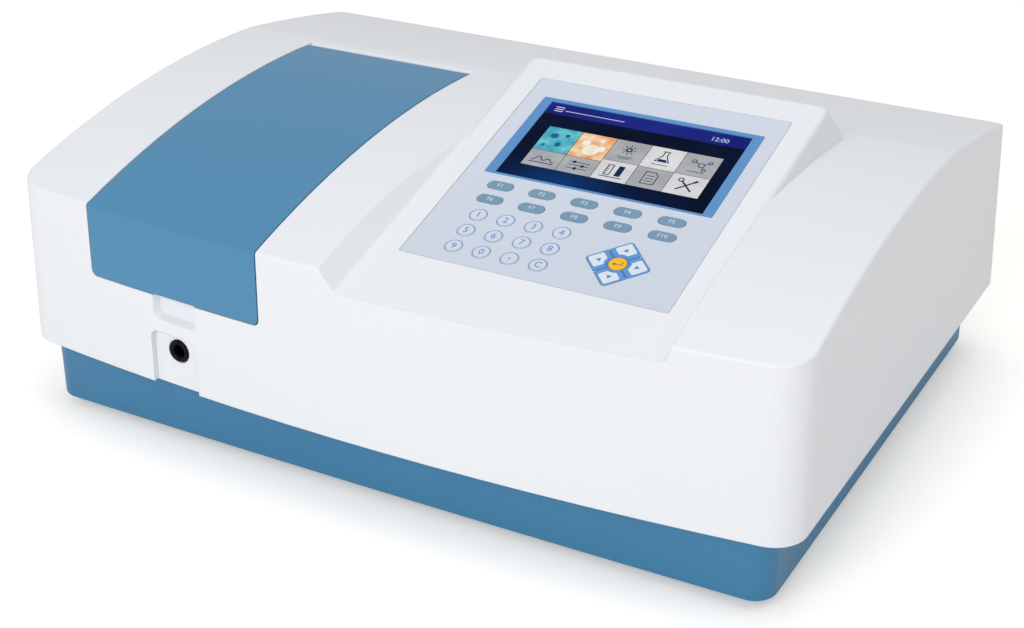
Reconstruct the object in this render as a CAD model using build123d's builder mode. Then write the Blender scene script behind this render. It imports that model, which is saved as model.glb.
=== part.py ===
from build123d import *
import math
import os

# Bench spectrophotometer: white moulded cover on a blue base pan, with a blue lid over
# the sample compartment at the left and a raised console at the right.
# +X is to the right of the person at the keys, -Y is the front, +Z is up.
# The origin is on the bench, under the middle of the bounding box. Millimetres.

# Whole instrument
width = 630.0
depth = 477.0
foot_height = 8.0
wall = 3.2
slip = 0.3

# Cover: drafted sides, front bowed in plan, crowned top that falls away behind a knee
cover_bottom_z = 58.0
crease_z = 185.0
front_bow = 20.6
front_draft = 1.5
side_draft = 1.1
rear_lean = 6.0
front_corner_radius = 25.0
rear_corner_radius = 7.0
crown_radius = 823.0
knee_y = 82.0
knee_z = 223.5
rear_edge_z = 199.5
rear_fall_radius = 1700.0
crease_fillet = 2.5
lip_thickness = 3.0

# Console: an inclined deck, sunk into the crown in front and raised above it behind
deck_angle = 16.25
deck_z = 171.7
deck_y = -230.7
deck_left = -14.0
deck_right = 225.0
deck_length = 292.5
deck_left_slope = 0.85
deck_right_slope = 0.22
deck_rear_slope = 0.40
deck_round = 4.5
rim_round = 3.9
deck_corner_radius = 7.0

# Sample compartment lid
lid_left = -236.0
lid_right = -80.0
lid_wall = 3.0
lid_gap = 1.1
lid_front_z = 130.0
lid_corner_radius = 4.0
well_depth = 5.0
lip_radius = 4.0

# Lid hinge
hinge_y = 60.0
hinge_z = 219.5
barrel_radius = 5.2
hinge_pin_diameter = 3.0
hinge_pin_length = 26.0
pin_clearance = 0.05
ear_radius = 3.2
ear_thickness = 4.0
ear_gap = 0.6
hinge_offset = 46.0
hinge_trough_floor_z = 208.0
hinge_trough_reach = 11.0
hinge_foot_length = 24.0
hinge_foot_depth = 12.0
hinge_foot_plate = 2.0
hinge_foot_shift = 2.0
hinge_foot_holes = 16.0
hinge_foot_hole = 3.2

# Mouth of the compartment and the tub under it
mouth_left = -228.0
mouth_right = -88.0
mouth_front_y = -205.0
mouth_rear_y = 35.0
tub_wall = 2.5
tub_floor_z = 72.0
tub_gap = 0.4
mouth_corner = 6.0
tub_corner = 4.0
beam_y = -85.0
beam_z = 112.0
window_diameter = 22.0
window_thickness = 3.0
window_lip = 3.0
seal_width = 5.0
liner_gap = 4.0
liner_plate = 2.0
liner_rim = 8.0
liner_corner = 4.0

# Finger notch and rod recess in the front face, both centred on the lid's width
notch_width = 40.0
notch_bottom_z = 110.0
notch_depth = 5.2
notch_corner = 6.0
notch_under_lid = 6.0
recess_left = -181.0
recess_right = -138.0
recess_top_z = 100.5
recess_depth = 4.0
recess_corner_left = 6.0
recess_corner_right = 12.0
bush_z = 87.0
bush_diameter = 18.0
bush_bore = 9.4
bush_proud = 1.6
bush_seat_depth = 0.8
bush_shank = 13.6
bush_edge = 1.2
bush_draft = 3.0
rod_play = 1.0

# Cell carriage
cuvette_socket = 12.6
socket_pitch = 26.0
socket_count = 4
socket_depth = 32.0
carriage_length = 114.0
carriage_width = 90.0
carriage_travel = 39.0
rail_diameter = 8.0
rail_spacing = 70.0
rail_z = 92.0
rail_fit = 0.02
rail_chamfer = 0.5
carriage_low_z = 80.0
carriage_base_z = 100.0
carriage_corner = 4.0
holder_width = 28.0
holder_inset = 3.0
beam_slot_height = 14.0
beam_slot_width = 6.0
rod_hole_diameter = 6.0
rod_hole_depth = 12.0
running_clearance = 0.06

# Membrane keypad and display, in deck coordinates (u across, v up the slope)
overlay_left = 5.0
overlay_right = 207.3
overlay_low = 49.0
overlay_high = 266.6
overlay_thickness = 0.8
overlay_recess = 1.0
overlay_gap = 0.4
overlay_corner = 2.0
bezel_left = 19.0
bezel_right = 195.0
bezel_low = 148.0
bezel_high = 245.0
bezel_gap = 0.2
bezel_corner = 1.0
screen_left = 27.0
screen_right = 187.4
screen_low = 150.0
screen_high = 241.0
module_thickness = 5.0
module_gap = 0.5
key_proud = 0.35
key_travel = 0.5
key_clearance = 0.3
key_stem = 2.6
key_edge = 0.2
f_key_length = 20.0
f_key_height = 9.0
f_key_first_u = 38.9
f_key_pitch_u = 33.1
f_key_rows_v = (135.7, 119.6)
round_key_diameter = 12.8
round_key_first_u = 39.6
round_key_pitch_u = 21.7
round_key_rows_v = (101.3, 83.4, 65.6)
pad_u = 155.2
pad_v = 83.7
pad_side = 34.0
pad_corner_radius = 3.0
pad_gap = 1.2
enter_diameter = 12.6
board_thickness = 1.6
dome_diameter = 7.0
dome_height = 0.7
dome_gap = 0.1
dome_shift = 1.5
board_low = 54.0
board_high = 144.0
board_margin = 1.0
pillar_inset_u = 4.0
pillar_inset_v = 3.0
pillar_diameter = 5.6

# Base pan and feet
pan_side_inset = 16.7
pan_front_inset = 4.8
pan_front_bow = 2.8
pan_rear_inset = 6.9
pan_corner_radius = 17.0
pan_wall = 2.5
pan_floor = 3.0
pan_top_z = 67.0
foot_diameter = 30.0
foot_spigot = 10.0
foot_x = 250.0
foot_front_y = -170.0
foot_rear_y = 190.0
foot_taper = 8.0
pan_edge = 2.0
post_inset = 14.0
plate_post_diameter = 18.0
tub_post_diameter = 12.0
board_post_size = 8.0
board_post_inset = 12.0
vent_length = 50.0
vent_width = 4.0
vent_pitch = 10.0
vent_count = 7

# Screws, all alike
screw_diameter = 4.0
screw_length = 12.0
screw_head_diameter = 7.6
screw_head_height = 2.6
screw_slot = 1.0
screw_slot_depth = 1.2
screw_clearance = 0.4
screw_end_gap = 0.5
boss_end = 2.0
boss_to_screw = 2.2
lug_inset = 7.6
tab_length = 18.0
tab_rows_y = (-130.0, 40.0, 190.0)

# Rear wall: panel, inlet with its switch, fan and data sockets, along the leaning face
panel_left = -14.0
panel_right = 266.0
panel_low = 16.0
panel_high = 100.0
panel_thickness = 1.2
panel_corner = 3.0
panel_screw_inset = 7.0
inlet_x = 232.0
inlet_rise = 48.0
inlet_width = 27.0
inlet_height = 20.0
inlet_body_depth = 24.0
inlet_cavity_depth = 17.0
inlet_corner_cut = 4.0
pin_width = 2.0
pin_height = 4.0
pin_reach = 7.0
pin_offset = 2.0
switch_x = 196.0
rocker_width = 12.0
rocker_height = 18.0
rocker_angle = 9.0
rocker_pivot = -2.5
rocker_pin = 2.4
rocker_end_gap = 0.9
rocker_end = 5.4
rocker_dip = 4.2
rocker_belly = 6.0
switch_wall = 2.0
flange_thickness = 2.0
flange_margin = 10.0
flange_corner = 3.0
fan_x = 115.0
fan_rise = 58.0
fan_size = 60.0
fan_depth = 25.0
fan_bore = 57.0
fan_hub = 26.0
fan_blades = 7
fan_strut = 3.0
fan_corner = 4.0
fan_hole_pitch = 50.0
fan_hole = 4.2
spindle = 4.0
blade_root = 14.0
blade_tip = 18.0
blade_root_angle = 50.0
blade_tip_angle = 32.0
grille_radius = 28.0
grille_pitch = 6.5
grille_slot = 4.2
grille_rings = 4
grille_spoke = 3.0
socket_x = (14.0, 50.0)
socket_rise = 60.0
data_socket_width = 20.0
data_socket_height = 10.0
data_socket_corner = 2.0
data_socket_proud = 1.0

# Optics on the bench plate
plate_thickness = 8.0
plate_z = 25.0
plate_left = -58.0
plate_right = 285.0
plate_front_y = -130.0
plate_rear_y = 200.0
plate_corner = 8.0
pocket_pitch = 76.0
pocket_size = 62.0
pocket_count = 4
pocket_floor_left = 3.0
mono_left = -48.0
mono_right = 128.0
mono_front_y = -122.0
mono_rear_y = 64.0
mono_height = 104.0
mono_wall = 5.0
slit_width = 4.0
slit_height = 14.0
slit_y = 20.0
grating_x = 45.0
grating_y = -28.0
shaft_diameter = 8.0
stage_diameter = 48.0
stage_thickness = 5.0
grating_width = 40.0
grating_thickness = 14.0
grating_height = 62.0
grating_rest_angle = 25.0
grating_boss = 24.0
grating_boss_height = 8.0
mirror_boss = 16.0
mirror_boss_height = 9.0
mirror_width = 26.0
mirror_height = 30.0
mirror_thickness = 6.0
mirror_rest_angle = 65.0
wheel_diameter = 62.0
wheel_thickness = 3.0
filter_diameter = 13.0
filter_count = 6
filter_circle = 21.0
mirror_x = 172.0
lamp_left = 192.0
lamp_right = 280.0
lamp_front_y = -40.0
lamp_rear_y = 110.0
lamp_height = 96.0
lamp_wall = 3.0
lamp_slot_length = 60.0
lamp_slot_width = 4.0
lamp_slot_pitch = 12.0
lamp_slot_count = 9
lamp_base_height = 18.0
lamp_base_margin = 4.0
deuterium_height = 50.0
tungsten_height = 34.0
deuterium_diameter = 30.0
tungsten_diameter = 12.0
detector_x = -270.0
detector_diameter = 28.0
detector_low = 92.0
detector_length = 36.0
detector_width = 40.0
detector_neck = 20.0
detector_overhang = 4.0
detector_bore = 14.0

# Electronics
supply_left = -10.0
supply_right = 150.0
supply_front_gap = 34.5
supply_depth = 66.0
supply_height = 56.0
supply_slot_length = 40.0
supply_slot_count = 12
main_board_left = -290.0
main_board_right = 78.0
main_board_front_y = 206.0
main_board_low_z = 74.0
main_board_height = 90.0

# Worked out from the sizes above
half_width = width / 2
front_y = -depth / 2
rear_y = depth / 2
front_corner_y = front_y + front_bow
front_slope = math.tan(math.radians(front_draft))
side_slope = math.tan(math.radians(side_draft))
rear_slope = math.tan(math.radians(rear_lean))
rear_edge_y = rear_y - (rear_edge_z - cover_bottom_z) * rear_slope
lid_x = (lid_left + lid_right) / 2
floor_z = foot_height + pan_floor
supply_front_y = front_y + supply_front_gap
supply_rear_y = supply_front_y + supply_depth
switch_width = rocker_width + 2 * switch_wall

# Reach of the blocks that only cut or bound a form
overshoot = 8.0
form_top_z = 235.0
block_low_z = 140.0
block_high_z = 240.0
deck_block = 60.0
deck_cut = 5.0
rear_cut_out = 5.0
rear_cut_in = 12.0

# Planes that carry the console parts and the rear parts
deck_tilt = math.radians(deck_angle)
deck_plane = Plane(
    origin=(0, deck_y, deck_z),
    x_dir=(1, 0, 0),
    z_dir=(0, -math.sin(deck_tilt), math.cos(deck_tilt)),
)
lean = math.radians(rear_lean)
rear_plane = Plane(
    origin=(0, rear_y, cover_bottom_z),
    x_dir=(-1, 0, 0),
    z_dir=(0, math.cos(lean), math.sin(lean)),
)


def save(part, name):
    """Label a finished piece and write its STEP file."""
    part.label = name
    export_step(part, f"parts/{name}.step")


def arc_centre(start, end, radius):
    """Centre of the arc through two points that bulges upwards."""
    dy = end[0] - start[0]
    dz = end[1] - start[1]
    chord = math.hypot(dy, dz)
    reach = math.sqrt(radius**2 - (chord / 2) ** 2)
    return (
        (start[0] + end[0]) / 2 + reach * dz / chord,
        (start[1] + end[1]) / 2 - reach * dy / chord,
    )


def height_on_arc(centre, radius, y):
    """Height of the arc above a place on the side view."""
    return centre[1] + math.sqrt(radius**2 - (y - centre[0]) ** 2)


def cover_outline(z, inset):
    """Plan outline of the cover at one height, drawn on its own level."""
    rise = z - cover_bottom_z
    half = half_width - rise * side_slope - inset
    corner_y = front_corner_y + rise * front_slope + inset
    back_y = rear_y - rise * rear_slope - inset
    with BuildSketch(Plane.XY.offset(z)) as outline:
        with BuildLine():
            ThreePointArc((-half, corner_y), (0, corner_y - front_bow), (half, corner_y))
            Polyline((half, corner_y), (half, back_y), (-half, back_y), (-half, corner_y))
        make_face()
        fillet(outline.vertices().group_by(Axis.Y)[0], front_corner_radius - inset)
        fillet(outline.vertices().group_by(Axis.Y)[-1], max(rear_corner_radius - inset, 1))
    return outline.sketch


def crown_section(x, drop):
    """Side profile under the crowned top at one place across the width."""
    bow = front_bow * (1 - (x / half_width) ** 2)
    rise = crease_z - cover_bottom_z
    crease_y = front_corner_y - bow + rise * front_slope
    knee = (knee_y, knee_z - drop)
    centre = arc_centre((crease_y, crease_z - drop), knee, crown_radius)
    start_y = crease_y - 2 * overshoot
    start = (start_y, height_on_arc(centre, crown_radius, start_y))
    middle_y = (start_y + knee_y) / 2
    middle = (middle_y, height_on_arc(centre, crown_radius, middle_y))
    fall_centre = arc_centre(knee, (rear_edge_y, rear_edge_z - drop), rear_fall_radius)
    end_y = rear_y + overshoot
    end = (end_y, height_on_arc(fall_centre, rear_fall_radius, end_y))
    fall_y = (knee_y + end_y) / 2
    fall = (fall_y, height_on_arc(fall_centre, rear_fall_radius, fall_y))
    with BuildSketch(Plane.YZ.offset(x)) as section:
        with BuildLine():
            ThreePointArc(start, middle, knee)
            ThreePointArc(knee, fall, end)
            Polyline(end, (end_y, 0), (start_y, 0), start)
        make_face()
    return section.sketch


def plain_form(inset):
    """The cover as if it had no console: drafted outline under the crowned top."""
    reach = half_width + overshoot
    with BuildPart() as crown:
        for x in (-reach, 0, reach):
            add(crown_section(x, inset))
        loft()
    with BuildPart() as form:
        for z in (cover_bottom_z, form_top_z):
            add(cover_outline(z, inset))
        loft(ruled=True)
        add(crown.part, mode=Mode.INTERSECT)
    return form.part


def deck_prism(low, high, left_slope, right_slope, inset, v_start, v_end):
    """Bar along the console's slope whose side walls lean, between two depths."""
    section = Plane(
        origin=deck_plane.from_local_coords((0, v_end, 0)),
        x_dir=(1, 0, 0),
        z_dir=-deck_plane.y_dir,
    )
    reach = high - low
    with BuildPart() as prism:
        with BuildSketch(section):
            with BuildLine():
                Polyline(
                    (deck_left + inset, low),
                    (deck_right - inset, low),
                    (deck_right - inset + reach * right_slope, high),
                    (deck_left + inset - reach * left_slope, high),
                    close=True,
                )
            make_face()
        extrude(amount=v_end - v_start)
    return prism.part


def below_deck():
    """The drafted outline cut off by the deck, with its front crease rounded."""
    with BuildPart() as block:
        for z in (cover_bottom_z, form_top_z):
            add(cover_outline(z, 0))
        loft(ruled=True)
        split(bisect_by=deck_plane, keep=Keep.BOTTOM)
        crease = block.faces().sort_by(Axis.Z)[-1].edges().group_by(Axis.Y)[0]
        fillet(crease, crease_fillet)
    return block.part


def console_trough(inset):
    """What is cut away above the deck where it lies lower than the crown."""
    with BuildPart() as trough:
        add(
            deck_prism(
                -inset,
                deck_block,
                deck_left_slope,
                deck_right_slope,
                -inset,
                -deck_block,
                deck_length + deck_block / 2,
            )
        )
        if inset == 0:
            low_edges = trough.edges().filter_by(
                lambda edge: abs(deck_plane.to_local_coords(edge.center()).Z) < 0.01
                and edge.length > deck_length
            )
            fillet(low_edges, deck_round)
            add(deck_prism(-crease_fillet, 1, 0, 0, deck_round / 2, -deck_block, deck_length / 4))
            add(below_deck(), mode=Mode.SUBTRACT)
    return trough.part


def console_wedge(inset):
    """The raised rear part of the console, a block with leaning sides."""
    root = 45.0
    start_v = 120.0
    top_back = deck_length - inset
    with BuildPart() as wedge:
        for drop in (0, root):
            with BuildSketch(deck_plane.offset(-inset - drop)):
                with BuildLine():
                    Polyline(
                        (deck_left + inset - drop * deck_left_slope, start_v),
                        (deck_right - inset + drop * deck_right_slope, start_v),
                        (deck_right - inset + drop * deck_right_slope, top_back + drop * deck_rear_slope),
                        (deck_left + inset - drop * deck_left_slope, top_back + drop * deck_rear_slope),
                        close=True,
                    )
                make_face()
        loft(ruled=True)
        if inset == 0:
            leaning = wedge.edges().filter_by(
                lambda edge: deck_plane.to_local_coords(edge.center()).Y > top_back
                and abs(edge.tangent_at(0).dot(deck_plane.z_dir)) > 0.5
            )
            fillet(leaning, deck_corner_radius)
            rim = wedge.edges().filter_by(
                lambda edge: abs(deck_plane.to_local_coords(edge.center()).Z) < 0.01
                and deck_plane.to_local_coords(edge.center()).Y > start_v + 1
            )
            fillet(rim, rim_round)
    return wedge.part


def lid_zone(margin):
    """Upright block that bounds the lid, widened by a margin on its free sides."""
    back = hinge_y + barrel_radius
    with BuildPart() as zone:
        with BuildSketch(Plane.XZ.offset(-back - margin)) as face:
            with Locations(((lid_left + lid_right) / 2, lid_front_z - margin)):
                Rectangle(
                    lid_right - lid_left + 2 * margin,
                    120,
                    align=(Align.CENTER, Align.MIN),
                )
            fillet(face.vertices().group_by(Axis.Y)[0], lid_corner_radius + margin)
        extrude(amount=360)
    return zone.part


def hinge_trough(margin):
    """Pocket behind the mouth in which the hinge stands."""
    front = hinge_y - hinge_trough_reach - margin
    back = hinge_y + barrel_radius + lid_gap + margin
    with BuildPart() as pocket:
        with BuildSketch(Plane.XY.offset(hinge_trough_floor_z - margin)):
            with Locations((lid_x, (front + back) / 2)):
                Rectangle(lid_right - lid_left + 2 * (lid_gap + margin), back - front)
        extrude(amount=deck_block)
    return pocket.part


def lid_well(inset):
    """All that is cut from the cover under the lid: a shallow step and the hinge pocket."""
    with BuildPart() as well:
        add(lid_zone(lid_gap + inset))
        add(plain_form(well_depth + inset), mode=Mode.SUBTRACT)
        add(hinge_trough(inset))
    return well.part


def front_prism(left, right, low, high, corner_left, corner_right, depth_in):
    """Recess in the front face with rounded upper corners, its floor bowed like the face."""
    with BuildPart() as prism:
        with BuildSketch(Plane.XZ.offset(190)) as face:
            with Locations(((left + right) / 2, (low + high) / 2)):
                Rectangle(right - left, high - low)
            fillet(face.vertices().group_by(Axis.Y)[-1].sort_by(Axis.X)[0], corner_left)
            fillet(face.vertices().group_by(Axis.Y)[-1].sort_by(Axis.X)[-1], corner_right)
        extrude(amount=70)
        add(plain_form(depth_in), mode=Mode.SUBTRACT)
    return prism.part


def rod_recess(margin):
    """Recess round the rod bush, open at the cover's lower edge."""
    return front_prism(
        recess_left - margin,
        recess_right + margin,
        cover_bottom_z - overshoot,
        recess_top_z + margin,
        recess_corner_left + margin,
        recess_corner_right + margin,
        recess_depth + margin,
    )


def finger_notch(margin):
    """Notch under the lid's front edge, with sloping sides, for lifting it with a finger."""
    with BuildPart() as notch:
        for inward, grow in ((-4, 5), (22, -8)):
            half = notch_width / 2 + margin + grow
            with BuildSketch(Plane.XZ.offset(-front_y - inward)) as face:
                with BuildLine():
                    Polyline(
                        (lid_x - half, lid_front_z + notch_under_lid),
                        (lid_x - half, notch_bottom_z - margin - grow),
                        (lid_x + half, notch_bottom_z - margin - grow),
                        (lid_x + half, lid_front_z + notch_under_lid),
                        close=True,
                    )
                make_face()
                fillet(face.vertices().group_by(Axis.Y)[0], notch_corner)
        loft(ruled=True)
        add(plain_form(notch_depth + margin), mode=Mode.SUBTRACT)
    return notch.part


def housing_form(inset):
    """Whole outside of the cover with its console, or its inside when inset by the wall."""
    with BuildPart() as form:
        add(plain_form(inset))
        add(console_trough(inset), mode=Mode.SUBTRACT)
        add(console_wedge(inset))
    return form.part


def pan_outline(margin, z):
    """Plan outline of the base pan, grown by a margin, on one level."""
    half = half_width - pan_side_inset + margin
    corner_y = front_corner_y + pan_front_inset - margin
    back_y = rear_y - pan_rear_inset + margin
    with BuildSketch(Plane.XY.offset(z)) as outline:
        with BuildLine():
            ThreePointArc((-half, corner_y), (0, corner_y - pan_front_bow), (half, corner_y))
            Polyline((half, corner_y), (half, back_y), (-half, back_y), (-half, corner_y))
        make_face()
        fillet(outline.vertices(), pan_corner_radius + margin)
    return outline.sketch


def front_crease(form):
    """Edges all round the top of the form's upright faces."""
    upright = form.faces().filter_by(lambda face: abs(face.normal_at(None).Z) < 0.15)
    rim = ShapeList()
    for face in upright:
        for edge in face.edges():
            level = abs(edge.tangent_at(0.5).Z) < 0.99
            if edge.center().Z > crease_z - 40 and level and edge not in rim:
                rim.append(edge)
    return rim


def deck_box(left, right, low, high, top, bottom, corner=0.0):
    """Block in deck coordinates between two depths, with rounded corners if asked."""
    with BuildPart() as block:
        with BuildSketch(deck_plane.offset(bottom)) as outline:
            with Locations(((left + right) / 2, (low + high) / 2)):
                Rectangle(right - left, high - low)
            if corner:
                fillet(outline.vertices(), corner)
        extrude(amount=top - bottom)
    return block.part


def pad_cell(angle, margin):
    """One quarter of the arrow pad: a turned square with its inner corner cut round."""
    side = (pad_side - pad_gap) / 2 + 2 * margin
    reach = (pad_side + pad_gap) / 4 * math.sqrt(2)
    with BuildSketch() as cell:
        with Locations((reach, 0)):
            Rectangle(side, side, rotation=45)
        fillet(cell.vertices().sort_by(Axis.X)[-1], pad_corner_radius)
        Circle(enter_diameter / 2 + pad_gap - margin, mode=Mode.SUBTRACT)
    return cell.sketch.rotate(Axis.Z, angle)


def key_outline(kind, margin):
    """Outline of one key about its own middle, grown by a margin."""
    with BuildSketch() as outline:
        if kind == "bar":
            SlotOverall(f_key_length + 2 * margin, f_key_height + 2 * margin)
        elif kind == "round":
            Circle(round_key_diameter / 2 + margin)
        elif kind == "enter":
            Circle(enter_diameter / 2 + margin)
        else:
            add(pad_cell(kind, margin))
    return outline.sketch


def key_layout():
    """Name, kind and place (u, v) of every key."""
    keys = []
    number = 1
    for row_v in f_key_rows_v:
        for column in range(5):
            place = (f_key_first_u + column * f_key_pitch_u, row_v)
            keys.append((f"key_f{number}", "bar", place))
            number += 1
    signs = ("1", "2", "3", "4", "5", "6", "7", "8", "9", "0", "point", "clear")
    for index, sign in enumerate(signs):
        column = index % 4
        place = (round_key_first_u + column * round_key_pitch_u, round_key_rows_v[index // 4])
        keys.append((f"key_{sign}", "round", place))
    for angle, sign in ((0, "right"), (90, "up"), (180, "left"), (270, "down")):
        keys.append((f"key_{sign}", angle, (pad_u, pad_v)))
    keys.append(("key_enter", "enter", (pad_u, pad_v)))
    return keys


def key_middle(kind, place):
    """Middle of the part of a key that presses on its dome."""
    if isinstance(kind, str):
        return place
    reach = (pad_side + pad_gap) / 4 * math.sqrt(2) + dome_shift
    turn = math.radians(kind)
    return (place[0] + reach * math.cos(turn), place[1] + reach * math.sin(turn))


def key_solid(kind, place, margin, bottom, top):
    """Upright key or key hole between two depths below the deck."""
    with BuildPart() as solid:
        with BuildSketch(deck_plane.offset(bottom)):
            with Locations(place):
                add(key_outline(kind, margin))
        extrude(amount=top - bottom)
    return solid.part


def deck_pillar(place, diameter, bottom, top):
    """Round post square to the deck between two depths below it."""
    with BuildPart() as post:
        with BuildSketch(deck_plane.offset(bottom)):
            with Locations(place):
                Circle(diameter / 2)
        extrude(amount=top - bottom)
    return post.part


def rear_box(x, rise, size_x, size_up, outward, inward, corner=0.0):
    """Block on the rear face, centred on a place, reaching outward and inward of it."""
    with BuildPart() as block:
        with BuildSketch(rear_plane.offset(-inward)) as outline:
            with Locations((-x, rise)):
                Rectangle(size_x, size_up)
            if corner:
                fillet(outline.vertices(), corner)
        extrude(amount=outward + inward)
    return block.part


def rear_cylinder(x, rise, diameter, outward, inward):
    """Round bar square to the rear face."""
    with BuildPart() as bar:
        with BuildSketch(rear_plane.offset(-inward)):
            with Locations((-x, rise)):
                Circle(diameter / 2)
        extrude(amount=outward + inward)
    return bar.part


def upright_box(left, right, front, back, low, high, corner=0.0):
    """Block between six limits, with its upright edges rounded if asked."""
    with BuildPart() as block:
        with BuildSketch(Plane.XY.offset(low)) as outline:
            with Locations(((left + right) / 2, (front + back) / 2)):
                Rectangle(right - left, back - front)
            if corner:
                fillet(outline.vertices(), corner)
        extrude(amount=high - low)
    return block.part


def bar_along(plane, centre, diameter, length):
    """Round bar square to a plane, starting on it."""
    with BuildPart() as bar:
        with BuildSketch(plane):
            with Locations(centre):
                Circle(diameter / 2)
        extrude(amount=length)
    return bar.part


os.makedirs("parts", exist_ok=True)

# Outer skin of the cover and lid together
with BuildPart() as skin:
    add(plain_form(0))
    fillet(front_crease(skin), crease_fillet)
    add(console_trough(0), mode=Mode.SUBTRACT)
    add(console_wedge(0))

keys = key_layout()
deck_axis = Axis(deck_plane.origin, deck_plane.z_dir)
key_bottom = -(overlay_recess - overlay_thickness) + key_proud - key_stem
dome_top = key_bottom - key_travel - dome_gap
board_top = dome_top - dome_height
module_top = -overlay_recess - 0.05
pocket_floor = module_top - module_thickness
tray_bottom = pocket_floor - wall
panel_x = (panel_left + panel_right) / 2
panel_rise = (panel_low + panel_high) / 2
panel_screw_x = (panel_left + panel_screw_inset, panel_right - panel_screw_inset)
panel_screw_rise = (panel_low + panel_screw_inset, panel_high - panel_screw_inset)
flange_x = (inlet_x + inlet_width / 2 + switch_x - rocker_width / 2) / 2
flange_width = inlet_width / 2 + inlet_x - switch_x + rocker_width / 2 + flange_margin
lug_x = half_width - wall - lug_inset
screw_hole = screw_diameter + screw_clearance
lip_top_z = cover_bottom_z + lip_thickness
window_seat = window_diameter + 2 * window_lip
face_y = front_corner_y - front_bow * (1 - (lid_x / half_width) ** 2)
bush_seat_y = face_y + (bush_z - cover_bottom_z) * front_slope + recess_depth + bush_seat_depth

# White top cover: one moulding with the console, lid well, notches and rear cut-outs
with BuildPart() as cavity:
    add(housing_form(wall))
    add(lid_well(wall), mode=Mode.SUBTRACT)
    add(rod_recess(wall), mode=Mode.SUBTRACT)
    add(finger_notch(wall), mode=Mode.SUBTRACT)
    add(
        deck_box(bezel_left, bezel_right, bezel_low, bezel_high, 0, tray_bottom),
        mode=Mode.SUBTRACT,
    )

with BuildPart() as top_cover:
    add(skin.part)
    add(cavity.part, mode=Mode.SUBTRACT)
    # Inward lip that closes the cover down on to the base pan
    with BuildSketch(Plane.XY.offset(cover_bottom_z)):
        add(cover_outline(cover_bottom_z, wall / 2))
        add(pan_outline(slip, cover_bottom_z), mode=Mode.SUBTRACT)
    extrude(amount=lip_thickness)
    with Locations(*[(side * lug_x, y, cover_bottom_z) for side in (-1, 1) for y in tab_rows_y]):
        Cylinder(
            screw_hole / 2,
            3 * lip_thickness,
            align=(Align.CENTER, Align.CENTER, Align.MIN),
            mode=Mode.SUBTRACT,
        )
    add(lid_well(0), mode=Mode.SUBTRACT)
    # Soft lip behind the lid
    lip_y = hinge_y + barrel_radius + lid_gap
    rear_lip = top_cover.edges().filter_by(
        lambda edge: abs(edge.center().Y - lip_y) < 0.5 and edge.center().Z > knee_z - 3
    )
    fillet(rear_lip.sort_by(Edge.length)[-1], lip_radius)
    add(
        upright_box(
            mouth_left,
            mouth_right,
            mouth_front_y,
            mouth_rear_y,
            block_low_z,
            block_high_z,
            mouth_corner,
        ),
        mode=Mode.SUBTRACT,
    )
    add(rod_recess(0), mode=Mode.SUBTRACT)
    add(finger_notch(0), mode=Mode.SUBTRACT)
    # Seat and hole for the rod bush, both drafted as the mould needs
    bush_place = (lid_x, bush_seat_y, bush_z)
    with BuildSketch(Plane(bush_place, x_dir=(1, 0, 0), z_dir=(0, -1, 0))):
        Circle(bush_diameter / 2 + slip)
    extrude(amount=4 * bush_seat_depth, taper=-bush_draft, mode=Mode.SUBTRACT)
    with BuildSketch(Plane(bush_place, x_dir=(1, 0, 0), z_dir=(0, 1, 0))):
        Circle(bush_shank / 2 + slip)
    extrude(amount=2 * wall, taper=bush_draft, mode=Mode.SUBTRACT)
    # Console: recess for the overlay, pocket for the display, a hole for each key
    add(
        deck_box(
            overlay_left,
            overlay_right,
            overlay_low,
            overlay_high,
            deck_cut,
            -overlay_recess,
            overlay_corner,
        ),
        mode=Mode.SUBTRACT,
    )
    add(
        deck_box(
            bezel_left + module_gap,
            bezel_right - module_gap,
            bezel_low + module_gap,
            bezel_high - module_gap,
            deck_cut,
            pocket_floor,
        ),
        mode=Mode.SUBTRACT,
    )
    for name, kind, place in keys:
        add(key_solid(kind, place, key_clearance, -3 * wall, 0), mode=Mode.SUBTRACT)
    for u in (bezel_left + pillar_inset_u, bezel_right - pillar_inset_u):
        for v in (board_low + pillar_inset_v, board_high - pillar_inset_v):
            add(deck_pillar((u, v), pillar_diameter, board_top, -wall / 2))
    # Rear wall: a shallow seat for the panel, cut-outs behind it and screw bosses
    for x in panel_screw_x:
        for rise in panel_screw_rise:
            boss_diameter = boss_to_screw * screw_diameter
            add(rear_cylinder(x, rise, boss_diameter, -wall / 2, screw_length + boss_end))
    add(
        rear_box(
            panel_x,
            panel_rise,
            panel_right - panel_left + slip,
            panel_high - panel_low + slip,
            rear_cut_out,
            panel_thickness,
            panel_corner,
        ),
        mode=Mode.SUBTRACT,
    )
    for x in panel_screw_x:
        for rise in panel_screw_rise:
            add(
                rear_cylinder(x, rise, screw_diameter, rear_cut_out, screw_length + screw_end_gap),
                mode=Mode.SUBTRACT,
            )
    for x, opening in ((inlet_x, inlet_width), (switch_x, switch_width)):
        add(
            rear_box(x, inlet_rise, opening + slip, inlet_height + slip, rear_cut_out, rear_cut_in),
            mode=Mode.SUBTRACT,
        )
    add(rear_cylinder(fan_x, fan_rise, fan_bore, rear_cut_out, rear_cut_in), mode=Mode.SUBTRACT)
    for x in socket_x:
        add(
            rear_box(
                x,
                socket_rise,
                data_socket_width + slip,
                data_socket_height + slip,
                rear_cut_out,
                rear_cut_in,
                data_socket_corner,
            ),
            mode=Mode.SUBTRACT,
        )

save(top_cover.part, "top_cover")

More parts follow.
